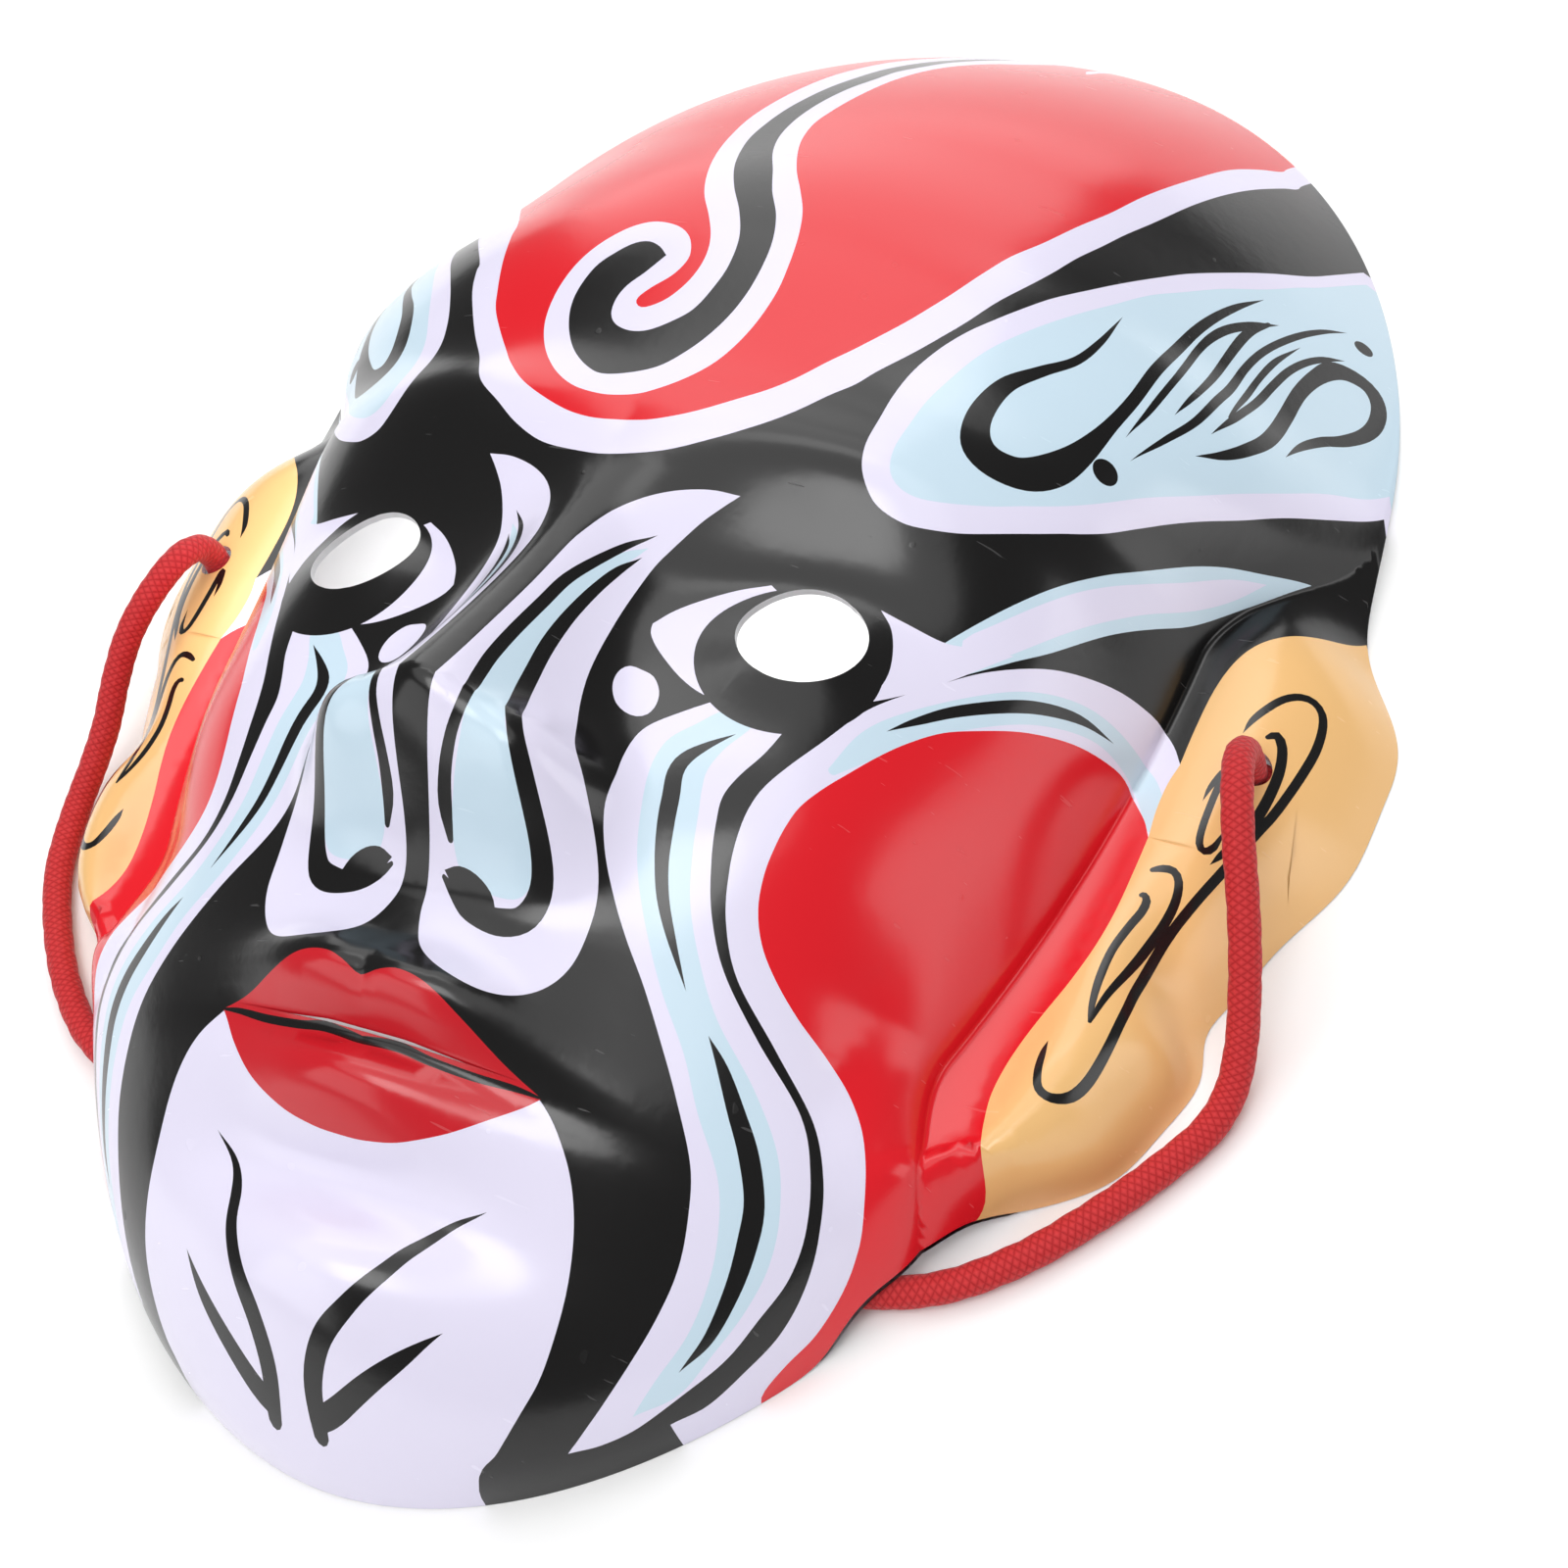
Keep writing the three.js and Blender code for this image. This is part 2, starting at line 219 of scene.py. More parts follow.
EAR_TAN = [
    (84, 24.5, 1), (81.4, 20), (78.8, 16.8), (75.8, 14), (73, 10.9), (71.1, 7.2), (70.1, 2.8),
    (69.7, -3), (69.6, -8.1, 1), (69, -11), (68.9, -15), (69.3, -19, 1), (69.2, -24), (68.9, -30),
    (68.1, -35.5), (66.8, -40.5), (65.3, -45), (64, -49.5), (63.2, -53.5), (63, -57),
    (63.6, -60.5), (64.5, -63.5), (64.8, -66), (64.2, -68), (63.3, -69.8, 1), (72, -82, 1),
    (100, -80, 1), (100, 27, 1),
]
EAR_LINES = [
    [(75.7, -2.1, 0), (76.2, 0, .8), (77.3, 2.2, 1), (78.8, 4.4, 1), (80.5, 5.7, 1), (82, 5.9, 1),
     (83.2, 5, 1), (83.8, 3, 1), (83.9, 0, 1), (83.5, -3.5, 1), (82.8, -7.5, 1), (82, -11, 1),
     (81, -14, 1), (80, -17, 1), (78.5, -21, 1), (77, -25, 1), (75.5, -29.5, 1), (74.6, -33.5, 1),
     (74.1, -38, 1), (74.1, -42, 1), (73.9, -47, 1), (73.2, -51.5, 1), (72, -54.3, 1),
     (70.2, -55.5, 1), (68.6, -55, 1), (67.8, -53, 1), (67.5, -50.5, .8), (67.5, -48.8, 0)],
    [(78.6, -1.5, .6), (79.5, -.8, 1.2), (80.5, -2, 1.2), (81.1, -5, 1.2), (81, -9, 1.2),
     (80.4, -13, 1.2), (79.5, -16, 1.1), (78.2, -18.5, .8), (77.3, -20.3, 0)],
    [(74.1, -12.8, 0), (74.4, -10.5, .7), (75.3, -8, .9), (75.2, -12, .9), (75.2, -16, .9),
     (75.5, -18.3, .9), (76.3, -19, .9), (77.2, -18, .8), (77.8, -15, 0)],
    [(71.4, -23.4, .7), (72.5, -22.9, 1), (73.8, -22.8, 1), (74.7, -23.8, 1), (75, -26, 1),
     (74.6, -29, 1), (73.6, -33, 1), (72.6, -37, .9), (71.7, -41, .8), (71.2, -45, .5)],
    [(71.2, -45, .5), (70.6, -42.5, .8), (70.2, -39, 1), (70.3, -35, 1), (71.1, -31.5, 1),
     (71.9, -29, 1), (72, -27.5, 1), (71.5, -26.9, .8), (71.2, -27, .6)],
]
FOREHEAD_WHITE = [
    (52, 122, 1), (50.8, 101.3), (50.9, 97), (50, 94.5), (48, 88), (46.5, 82), (45, 75),
    (43.5, 67.5), (41.7, 60), (40.7, 54.8), (39.5, 49.4), (38.5, 44), (37.3, 38.7), (35.7, 33.9),
    (34, 29.2), (32.1, 25.5), (29.7, 21.7), (26.5, 17.5), (24.9, 15), (22.5, 12), (20, 7.5),
    (18, 5), (15.5, 3), (12.3, 1), (6.5, -2), (0, -3.8), (-4, -4), (-10, -3.2), (-15, -1),
    (-19, 1.7), (-23.5, 5), (-27, 10), (-30.8, 14.8), (-34.4, 20.4), (-36.3, 23.8), (-37.7, 27.2),
    (-38.8, 29.7), (-47, 40), (-52, 47), (-60, 55.5), (-75, 70), (-92, 84, 1), (-92, 140, 1),
    (52, 140, 1),
]
FOREHEAD_RED = [
    (48, 122, 1), (47.5, 104), (47.6, 100), (46, 96), (44, 90), (42.3, 81), (40, 70.5),
    (38.5, 63), (37, 57), (35.3, 49.6), (33.4, 43.8), (32.1, 38.1), (30.5, 32.8), (28.3, 28.1),
    (26.2, 24.7), (23, 20.5), (20, 17), (17, 13), (14, 9.5), (9, 5), (4, 2.4), (0, 1.5), (-5, 1),
    (-10, 2), (-16.5, 5), (-21, 8.7), (-24, 12), (-26.9, 15.4), (-29.7, 19.2), (-31.4, 22.9),
    (-33.6, 28.1), (-36.2, 34.5), (-39, 40.1), (-50, 53.5), (-56.5, 59), (-72, 74), (-90, 90, 1),
    (-90, 140, 1), (48, 140, 1),
]
CROWN_LINE = [
    (14.6, 110, 0), (13.7, 113, 1.2), (12.8, 117, 1.4), (12, 124, 1.4),
]
CURL_WHITE = [
    (6.8, 125, 1), (6.5, 118), (6.5, 112), (5.5, 108), (3, 104), (1, 100), (-.5, 96), (-1.7, 91),
    (-2.6, 85), (-3.3, 78), (-4, 70), (-4.2, 65), (-3.2, 60), (-1.5, 55.5), (1, 50.5), (3.8, 46),
    (6.3, 41.5), (8, 36.5), (9, 31), (9.3, 26), (8.5, 20), (6.5, 14), (3.5, 9.5), (0, 6.5),
    (-3, 5.3), (-6, 5), (-10, 5.8), (-14, 8.3), (-18, 12.5), (-20.5, 17), (-21.4, 22), (-21, 27),
    (-19.5, 31), (-17, 34.3), (-14.5, 36), (-12, 36.4), (-9, 35.7), (-6.7, 34), (-5.3, 31.5),
    (-5.1, 29.5), (-6, 27), (-8, 24.5), (-9, 22.7), (-8.8, 21.7), (-7.8, 21.1), (-6.5, 21.6),
    (-4.8, 23.2), (-3.4, 26), (-2.8, 29), (-3, 32), (-4, 35), (-6, 38.5), (-9, 43), (-11.3, 48),
    (-13.3, 54), (-14.7, 60), (-15.5, 66), (-15.3, 72), (-14.7, 79), (-13.8, 87), (-12.5, 93),
    (-11, 99), (-8.6, 105), (-6, 111), (-4.5, 117), (-4, 125, 1),
]
CURL_BLACK = [
    (1.8, 121), (.5, 112), (-1, 105), (-2.5, 100), (-3.5, 95), (-5, 90), (-5.5, 85), (-6.5, 80),
    (-7.2, 75), (-7.6, 70), (-7.6, 65), (-6.8, 60), (-5, 55), (-2.3, 50), (.2, 45), (3.2, 40),
    (5, 35), (5.6, 30), (5.4, 25), (4.2, 20), (1.9, 15), (-1.2, 11), (-6.5, 8.7), (-10, 9.7),
    (-14, 13), (-17, 17.5), (-18.3, 22), (-17.8, 27), (-16, 30), (-14, 32), (-12, 32.5),
    (-10, 31.7), (-8.4, 30.3, 1), (-10, 27), (-11.5, 24.5), (-12, 22), (-11.5, 19.5), (-10, 17.8),
    (-7.5, 17), (-5, 17.5), (-2.5, 19.5), (-.5, 22), (.6, 26), (1, 30), (.2, 35), (-2.2, 40),
    (-5.5, 45), (-8.2, 50), (-10, 55), (-11.2, 60), (-11.5, 65), (-11.3, 70), (-10.7, 75),
    (-10, 80), (-9, 85), (-8.2, 90), (-7, 95), (-5.5, 100), (-3.6, 105), (-1.5, 112), (1, 121, 1),
]
BROW_WHITE = [
    (29.7, 12), (30, 8), (30.5, 4.5), (31.2, 2), (32.5, 0), (34, -1.2), (36.5, -1.8), (39, -1.6),
    (43, -.3), (46.5, 1.8), (50, 4.7), (53, 7.8), (56, 11), (58.8, 14.2), (63.5, 19.2),
    (67.8, 24), (71.5, 28.8), (75.6, 34.1), (79.3, 39.4), (82, 45, 1), (96, 66, 1), (96, 88, 1),
    (63.8, 85.5, 1), (62, 80), (60, 75), (56.5, 69.5), (53, 64), (50, 59), (47.7, 54.2),
    (45.4, 49.3), (43.1, 44.4), (40.9, 39.5), (38.9, 35), (36.7, 30.9), (34.5, 27.3),
    (32.3, 23.1), (30.6, 18.8), (29.8, 15),
]
BROW_BLUE = [
    (33.2, 10), (33.5, 6), (34.3, 3), (36, 1.6), (38.5, 1.5), (42, 2.8), (45.5, 5), (48.5, 7.8),
    (52, 11.1), (57.5, 16.4), (63, 21.8), (67, 26.6), (70.8, 31.8), (74.5, 37.8), (78.3, 43.3),
    (82, 50, 1), (96, 72, 1), (96, 84, 1), (65, 83, 1), (62, 75), (60, 71), (57.5, 66),
    (54, 60.5), (50.7, 54.1), (48.4, 49.7), (45.8, 43), (43.6, 37.1), (40.9, 31.5), (37.5, 25.2),
    (35.2, 19.6), (33.6, 14.9),
]
BROW_LINES = [
    [(47.9, 42.6, 0), (48.1, 35.5, .8), (47.1, 29.9, 1.2), (44.3, 25.7, 1.6), (41.5, 21.8, 2.2),
     (40.2, 17.6, 2.8), (40.2, 14.4, 3.3), (41.4, 12, 3.9), (43.7, 10.9, 4.3), (46.7, 11.5, 4.2),
     (49.5, 14.2, 3.7), (51.8, 18.1, 2.6), (53.4, 23.1, 1.6), (54.4, 29.1, 1.4),
     (54.5, 36.9, 1.4), (54.5, 45.5, 1.3), (55.1, 52.4, 1.2), (56.3, 58.5, .9), (58, 63.6, 0)],
    [(55.3, 22.9, 0), (56.3, 28.8, .7), (56.6, 36.6, .8), (56.1, 45.4, .9), (56.8, 51.8, 1.2),
     (58.7, 56.8, 1.2), (60.9, 60.6, 0)],
    [(60, 59.4, .6), (58.9, 54.6, 1.1), (58.9, 46.5, 1), (59.2, 38.7, .8), (59, 34.1, .6),
     (58.6, 30.3, 0)],
    [(56.5, 20.4, 0), (58.9, 25.9, .7), (60.7, 31.9, .9), (61.1, 39.8, 1), (60.9, 47.6, .9),
     (61.4, 54, .9), (62.9, 60.5, .9), (64.8, 65.5, .7), (66.9, 69, 0)],
    [(62.5, 31.3, 0), (63.4, 36.4, .8), (63.8, 42.3, .9), (64.1, 48.6, .9), (64.5, 53.3, .9),
     (65.4, 57.4, .9), (66.7, 60.6, .8), (68.4, 63.2, 0)],
    [(63, 36.3, .3), (62.7, 42.4, .7), (62.6, 47.5, .7), (62.9, 53.4, .7), (64, 59.4, 0)],
    [(62.1, 26.7, 0), (64.4, 29.6, 1), (66.1, 33.3, 1.4), (67.1, 37.8, 1.6), (66.8, 44.8, 1.6),
     (66.6, 51, 1.6), (67.1, 56.2, 1.9), (68.2, 60, 2.6), (70.3, 61.6, 2.6), (72.3, 61.5, 2.4),
     (73.8, 59.5, 2), (74.4, 56.1, 1.8), (74, 52.6, 1.6), (72.6, 48.7, 1.4), (70.9, 45.5, 1.2),
     (69.8, 41.9, .9), (69.3, 37.2, 0)],
]
BROW_DOTS = [
    [(54.5, 17.4), 1.4], [(69.2, 68.4), 1.15],
]
WHISKER_BLUE = [
    (44.5, -14.5, 1), (45.5, -12.2), (48.8, -7), (52.2, -1.8), (55.8, 3.8), (59.2, 9.3),
    (63, 14.1), (67.1, 18.2), (71.4, 21.8), (75.4, 25.4, 1), (71.7, 19.9), (67.8, 14.1),
    (64.3, 8.3), (59.8, 1), (55.4, -6.3), (51.6, -11.2, 1), (48, -15.5, 1),
]
WHISKER_LINE = [
    (48.5, -11.5, 3.2), (51.1, -8, 3.2), (54.6, -2.6, 3), (58.2, 3.2, 2.8), (61.6, 8.7, 2.5),
    (65.1, 13.3, 2), (68.5, 17.5, 1.3), (71.4, 20.9, 0),
]
EYE_INNER = [
    (16.9, -17.6, 1), (18.5, -14.5), (21, -11.5), (24, -8.8), (27.3, -6.8, 1), (33, -10, 1),
    (33, -22, 1), (28.6, -25.3, 1), (25.5, -24.5), (22.5, -23), (19, -20.6), (17.3, -19),
]
EYE_OUTER = [
    (40.5, -5.5, 1), (43.5, -5.9), (48, -6.2), (51, -5.6), (54.3, -5, 1), (51.4, -8.7),
    (48.5, -12.8), (46, -16.2), (44, -18.5, 1), (44.6, -14.5), (44, -11), (42.5, -7.5),
]
EYE_BLACK = (33.8, -16.5, 10.8)
EYE_OVAL = [
    (18.3, -24.6), (20.2, -24.6), (21.6, -26.2), (21.9, -28.3), (21.2, -30.6), (19.7, -32.4),
    (18, -33.2), (16.6, -32.9), (15.7, -31.4), (15.4, -29.3), (15.8, -26.9), (16.8, -25.2),
]
NOSE_DROP = [
    (17.8, -4.8, 1), (14, -5.2), (10, -6.6), (6.8, -8.8), (4.4, -12), (3, -16), (2.4, -20),
    (2.3, -28), (2.3, -36), (2.4, -44), (2.4, -50), (2.1, -54), (1.7, -58), (1.6, -62),
    (2.2, -66), (4, -69.6), (7, -71.8), (10.5, -72.9), (14, -73), (17, -71.8), (19.5, -69.3),
    (21, -66), (21.4, -61.5), (21.2, -57.5), (20, -53), (18, -48.5), (15.3, -44.5), (13, -40),
    (11.7, -36), (11, -32), (10.6, -27), (10.5, -22), (10.9, -17), (12, -13.5), (14, -9.5),
    (16, -6.8),
]
NOSE_BLUE = [
    (9.6, -14.5, 1), (7.5, -16.5), (6, -20), (5.1, -25), (4.8, -32), (5, -39), (5.7, -44),
    (6.4, -47.5), (6.2, -51), (5.2, -54.5), (4.6, -58), (6, -61), (10, -61.9), (13.5, -61),
    (14.6, -57), (13, -52), (11, -48.5), (9, -44), (7.8, -39), (7.2, -33), (6.9, -28), (7.2, -22),
    (8.2, -18),
]
NOSE_LINES = [
    [(10, -12.5, 0), (7.5, -15.5, .8), (5.7, -19.5, 1.1), (4.6, -24, 1.2), (4.4, -29, 1.2),
     (4.4, -35, 1.2), (4.7, -40, 1.2), (5.3, -43.5, 1.2), (6, -46.5, 1.2), (5.8, -49, 1.2),
     (5, -51.5, 1.3), (4.2, -54, 1.5), (3.9, -56.3, 1.7), (4.3, -58.4, .8)],
    [(9.4, -16, 0), (8, -19, .9), (7.2, -23, 1.1), (6.9, -28, 1.2), (7.1, -33, 1.3),
     (7.7, -37.5, 1.3), (8.7, -42, 1.4), (10.2, -45.5, 1.5), (12, -48.5, 1.6), (13.7, -52, 2),
     (15.2, -57, 2.3), (15.3, -60.5, 2.6), (14, -63.3, 3), (11.5, -64.4, 3.2), (8, -64.2, 2.4),
     (5.6, -63, 1.5), (3.6, -61.6, .5)],
    [(3.6, -61, 0), (5.2, -61.3, 2), (7.2, -61.8, 2.6), (9.2, -62.6, 2), (10.8, -63.6, 0)],
]
BAND_WHITE = [
    (28.6, -25.3, 1), (26, -27.3), (23, -30.5), (21, -34), (19.8, -38), (19.4, -42), (19.8, -46),
    (20.2, -50), (21.2, -54), (23, -57.5), (25.5, -61), (29, -65.2), (32.5, -70), (35.5, -74.5),
    (38.5, -80), (39.4, -85), (39.3, -90), (38, -95), (36, -100), (33.7, -104.6), (31.6, -108),
    (30.2, -109.9, 1), (33.4, -107.6), (36.9, -104.4), (41, -99.6), (44.6, -94.8), (47.2, -90),
    (49.5, -85), (50.4, -80), (49.7, -75), (47.3, -70), (41.3, -65), (36.2, -60), (33.4, -55),
    (32, -50), (31.7, -45), (32.4, -40), (34.2, -35), (36.4, -30), (37.5, -26, 1), (38, -20, 1),
    (30, -20, 1),
]
BAND_BLUE = [
    (30.5, -26), (27.5, -29), (25, -32.5), (23.5, -37), (22.7, -42), (23, -47), (24, -52),
    (25.5, -56), (28, -60.5), (31, -65), (35, -70), (38, -75), (41.4, -80), (42.5, -85),
    (42.3, -90), (41, -95), (38.5, -100), (36.4, -104, 1), (40.5, -100), (43.5, -95), (46, -90),
    (47.6, -85), (47.8, -80), (46.4, -75), (42.5, -70), (37, -65), (33.5, -60), (31, -55),
    (29.8, -50), (29.5, -45), (29.8, -40), (30.5, -35.5), (32, -31), (34, -26.5),
]
BAND_LINES = [
    [(32.6, -28.6, 0), (29.8, -31.5, 1), (27.5, -35, 1.7), (26.2, -39, 1.9), (25.9, -44, 2),
     (26.1, -48.5, 1.9), (26.8, -52, 1.6), (28, -55.5, 1.4), (30, -59, 1), (33.2, -63.7, 0)],
    [(36.7, -67, 0), (39, -69.5, 1.2), (41.5, -73, 1.9), (43.8, -76.5, 2.2), (45.3, -80.5, 2.1),
     (45.3, -84.5, 1.9), (44.6, -89, 1.4), (43, -94, .8), (40.5, -98.3, 0)],
]
CHEEK_WHITE = [
    (69.6, -8, 1), (68, -5.5), (66.1, -3.5), (64.3, -3.1), (61.7, -3.3), (58, -4.5), (54.5, -6.5),
    (51.5, -8.9), (48.5, -12.7), (46.3, -16), (44, -20), (41.6, -25.5), (39.5, -30), (37.3, -35),
    (35.6, -40), (34.4, -45), (34.1, -50), (35, -55), (37.6, -60), (43.2, -65), (48.6, -70),
    (51, -75), (51.6, -80), (50.9, -85), (49, -90), (45.9, -95), (42.8, -99.2), (39.5, -102.6, 1),
    (58, -124, 1), (96, -90, 1), (84, -8, 1),
]
CHEEK_RED = [
    (63.3, -11.3), (60.7, -11.4), (57.5, -12.6), (54.5, -14.5), (51.5, -17), (49, -20.5), (47, -24),
    (45, -28), (43, -32), (41, -36.5), (39.5, -41), (38.4, -45), (37.7, -49), (37.9, -52.5),
    (39, -55.5), (41, -58), (44, -60.5), (47.5, -62.6), (50.5, -64.9), (53.1, -68.1), (54.6, -71.6),
    (55.1, -75), (55, -79), (54, -83), (52, -87.5), (49.5, -91.5), (46.5, -96, 1), (52, -112, 1),
    (96, -80, 1), (84, -19, 1), (69.3, -19, 1), (68, -16.5), (66, -13.5), (64.8, -11.8),
]
CHEEK_BLUE_LINE = [
    (43.6, -28.5, 1), (46, -23, 3), (49, -18, 3.2), (53, -13, 3.2), (57.5, -9.5, 3.2),
    (61.7, -8.3, 3.2), (65.2, -9.9, 3.2), (67.6, -13.1, 3), (69.4, -17, 2.6),
]
CHEEK_LINE = [
    (63.3, -8.8, 0), (60.6, -8.4, 1), (57.5, -9.4, 1.3), (54.5, -11.3, 1.3), (51.5, -14, 1.2),
    (49, -17.3, .8), (46.8, -20.5, 0),
]
LIPS_EDGE = [
    (0, -75.9), (2.6, -75), (5, -74.5), (8.5, -75), (13, -76.8), (17.5, -78.7), (22, -80.2, 1),
    (18, -84), (13.5, -87.4), (8.5, -89.6), (4, -90.5), (0, -90.7),
]
MOUTH_LINE = [
    (0, -81, 1.1), (5, -80.6, 1.1), (9, -80.9, 1), (14, -80.8, .9), (19, -80.3, .6),
    (22.2, -80.2, .2),
]
CHIN_EDGE = [
    (19.7, -79.5, 1), (22, -80.5), (24.5, -82.7), (26.8, -86), (28.2, -90), (28.8, -95),
    (28.7, -100), (27.8, -105), (26, -109), (23.5, -113), (20.5, -116.5), (16, -126, 1),
]
CHIN_LINES = [
    [(18.7, -92.5, 0), (15, -95.2, .8), (12.3, -99, 1.5), (10.3, -103, 1.7), (7.5, -107.3, 1.9),
     (4.6, -111, 2.2), (3.1, -114.5, 2.4), (3.2, -118, 2.2)],
    [(4, -117, 2), (6.5, -115.5, 2), (10.8, -112.2, 1.7), (14.2, -109.3, 1.2), (17.8, -105.7, 0)],
]

SWAY_CENTRE, SWAY = (34.0, -14.0), (-3.0, -6.5)
SWAY_FULL, SWAY_END = 15.0, 36.0
FAR_BROW_Y, FAR_BROW_X = (0, 12, 36, 59, 75, 90), (31, 29.7, 38, 50, 60, 66)
FAR_BROW_RIM = 84.0


def with_eye(points):
    """The pattern round the eye goes with the eye hole, and less so further out."""
    moved = []
    for p in points:
        off = math.hypot(p[0] - SWAY_CENTRE[0], p[1] - SWAY_CENTRE[1])
        share = float(1 - smooth((off - SWAY_FULL) / (SWAY_END - SWAY_FULL)))
        moved.append((p[0] + SWAY[0] * share, p[1] + SWAY[1] * share, *p[2:]))
    return moved


def far_brow(points):
    """The right brow leaves room for the wider forehead field on its side."""
    moved = []
    for p in points:
        inner = np.interp(p[1], FAR_BROW_Y, FAR_BROW_X)
        room = np.clip((FAR_BROW_RIM - p[0]) / (FAR_BROW_RIM - inner), 0, 1)
        out = (5.2 + 0.14 * max(p[1] - 5, 0)) * room
        moved.append((p[0] + out, p[1], *p[2:]))
    return moved


def mirrored(points):
    return [(-p[0], *p[1:]) for p in points]


def spline(points, step):
    """An open smooth line through the points, which may carry a width."""
    p = np.array(points, float)
    if len(p) == 2:
        return p
    ends = np.vstack([2 * p[0] - p[1], p, 2 * p[-1] - p[-2]])
    line = [p[:1]]
    for i in range(1, len(ends) - 2):
        a, b, c, d = ends[i - 1 : i + 3]
        count = max(2, int(math.ceil(math.hypot(*(c - b)[:2]) / step)))
        t = np.linspace(0, 1, count + 1)[1:, None]
        curve = 2 * b + (c - a) * t + (2 * a - 5 * b + 4 * c - d) * t**2
        line.append((curve + (3 * b - a - 3 * c + d) * t**3) / 2)
    return np.vstack(line)


def patch(points, step):
    """A closed smooth edge. A third number of 1 marks a sharp corner."""
    corners = [i for i, p in enumerate(points) if len(p) > 2]
    flat = [p[:2] for p in points]
    if not corners:
        around = flat[-3:] + flat + flat[:3]
        line = spline(around, step)
        start = np.argmin(np.hypot(*(line - np.array(flat[0])).T))
        stop = len(line) - 1 - np.argmin(np.hypot(*(line[::-1] - np.array(flat[0])).T))
        return line[start:stop]
    pieces = []
    for a, b in zip(corners, corners[1:] + [corners[0] + len(flat)]):
        run = [flat[i % len(flat)] for i in range(a, b + 1)]
        pieces.append(spline(run, step)[:-1])
    return np.vstack(pieces)


def stroke(points, step):
    """The edge of a brush stroke along a line of (x, y, width)."""
    line = spline(points, step)
    xy, half = line[:, :2], np.maximum(line[:, 2], 0) / 2
    along = np.gradient(xy, axis=0)
    along /= np.maximum(np.hypot(*along.T), 1e-9)[:, None]
    side = np.column_stack([-along[:, 1], along[:, 0]])
    left, right = xy + side * half[:, None], xy - side * half[:, None]

    def cap(i, turn):
        if half[i] < 0.12:
            return xy[i : i + 1]
        angles = np.radians([60, 30, 0, -30, -60])[:, None]
        out = turn * along[i] * np.cos(angles) + turn * side[i] * np.sin(angles)
        return xy[i] + out * half[i]

    return np.vstack([left[1:-1], cap(len(line) - 1, 1), right[1:-1][::-1], cap(0, -1)])


def disc(x, y, radius, step):
    count = max(12, int(2 * math.pi * radius / step))
    angle = np.linspace(0, 2 * math.pi, count, endpoint=False)
    return np.column_stack([x + radius * np.cos(angle), y + radius * np.sin(angle)])


def both(points):
    """A closed edge of one half and its mirror image, joined on the middle line."""
    back = [(-p[0], *p[1:]) for p in reversed(points) if p[0] != 0]
    return points + back


def pattern(step):
    """Every painted patch as (colour, closed edge), in the order of painting."""
    painted = []

    def paint(colour, edge):
        painted.append((colour, edge))

    def pair(colour, points, shape=patch):
        paint(colour, shape(points, step))
        paint(colour, shape(mirrored(points), step))

    pair(WHITE, with_eye(CHEEK_WHITE))
    pair(BLUE, with_eye(CHEEK_BLUE_LINE), stroke)
    pair(RED, with_eye(CHEEK_RED))
    pair(BLACK, with_eye(CHEEK_LINE), stroke)
    pair(TAN, EAR_TAN)
    for line in EAR_LINES:
        pair(BLACK, line, stroke)
    paint(WHITE, patch(FOREHEAD_WHITE, step))
    paint(RED, patch(FOREHEAD_RED, step))
    paint(WHITE, stroke(CROWN_LINE, step))
    paint(WHITE, patch(CURL_WHITE, step))
    paint(BLACK, patch(CURL_BLACK, step))
    for side, place in ((1, list), (-1, far_brow)):
        for colour, points, shape in (
            (WHITE, BROW_WHITE, patch),
            (BLUE, BROW_BLUE, patch),
            *((BLACK, line, stroke) for line in BROW_LINES),
        ):
            placed = place(points)
            paint(colour, shape(placed if side > 0 else mirrored(placed), step))
        for dot, radius in BROW_DOTS:
            x, y = place([dot])[0]
            paint(BLACK, disc(side * x, y, radius, step / 2))
    pair(WHITE, with_eye(BAND_WHITE))
    pair(BLUE, with_eye(BAND_BLUE))
    for line in BAND_LINES:
        pair(BLACK, with_eye(line), stroke)
    pair(WHITE, with_eye(EYE_INNER))
    pair(BLUE, WHISKER_BLUE)
    pair(WHITE, WHISKER_LINE, stroke)
    pair(WHITE, with_eye(EYE_OUTER))
    for side in (1, -1):
        x, y = EYE_BLACK[0] + SWAY[0], EYE_BLACK[1] + SWAY[1]
        paint(BLACK, disc(side * x, y, EYE_BLACK[2], step))
    pair(WHITE, with_eye(EYE_OVAL))
    pair(WHITE, NOSE_DROP)
    pair(BLUE, NOSE_BLUE)
    for line in NOSE_LINES:
        pair(BLACK, line, stroke)
    paint(WHITE, patch(both(CHIN_EDGE), step))
    for line in CHIN_LINES:
        pair(BLACK, line, stroke)
    paint(LIP, patch(both(LIPS_EDGE), step))
    pair(BLACK, MOUTH_LINE, stroke)
    return painted


def inside(points, edge):
    """Which points lie inside a closed edge, counting every turn round them."""
    found = np.zeros(len(points), bool)
    low, high = edge.min(0), edge.max(0)
    near = np.nonzero(((points >= low) & (points <= high)).all(1))[0]
    a, b = edge, np.roll(edge, -1, 0)
    for part in np.array_split(near, max(1, len(near) * len(edge) // 4_000_000 + 1)):
        x, y = points[part, 0][:, None], points[part, 1][:, None]
        left = (b[:, 0] - a[:, 0]) * (y - a[:, 1]) - (x - a[:, 0]) * (b[:, 1] - a[:, 1])
        up = (a[:, 1] <= y) & (b[:, 1] > y) & (left > 0)
        down = (a[:, 1] > y) & (b[:, 1] <= y) & (left < 0)
        found[part] = (up.sum(1) - down.sum(1)) != 0
    return found


# ---------------------------------------------------------------- the elastic cord, in mm

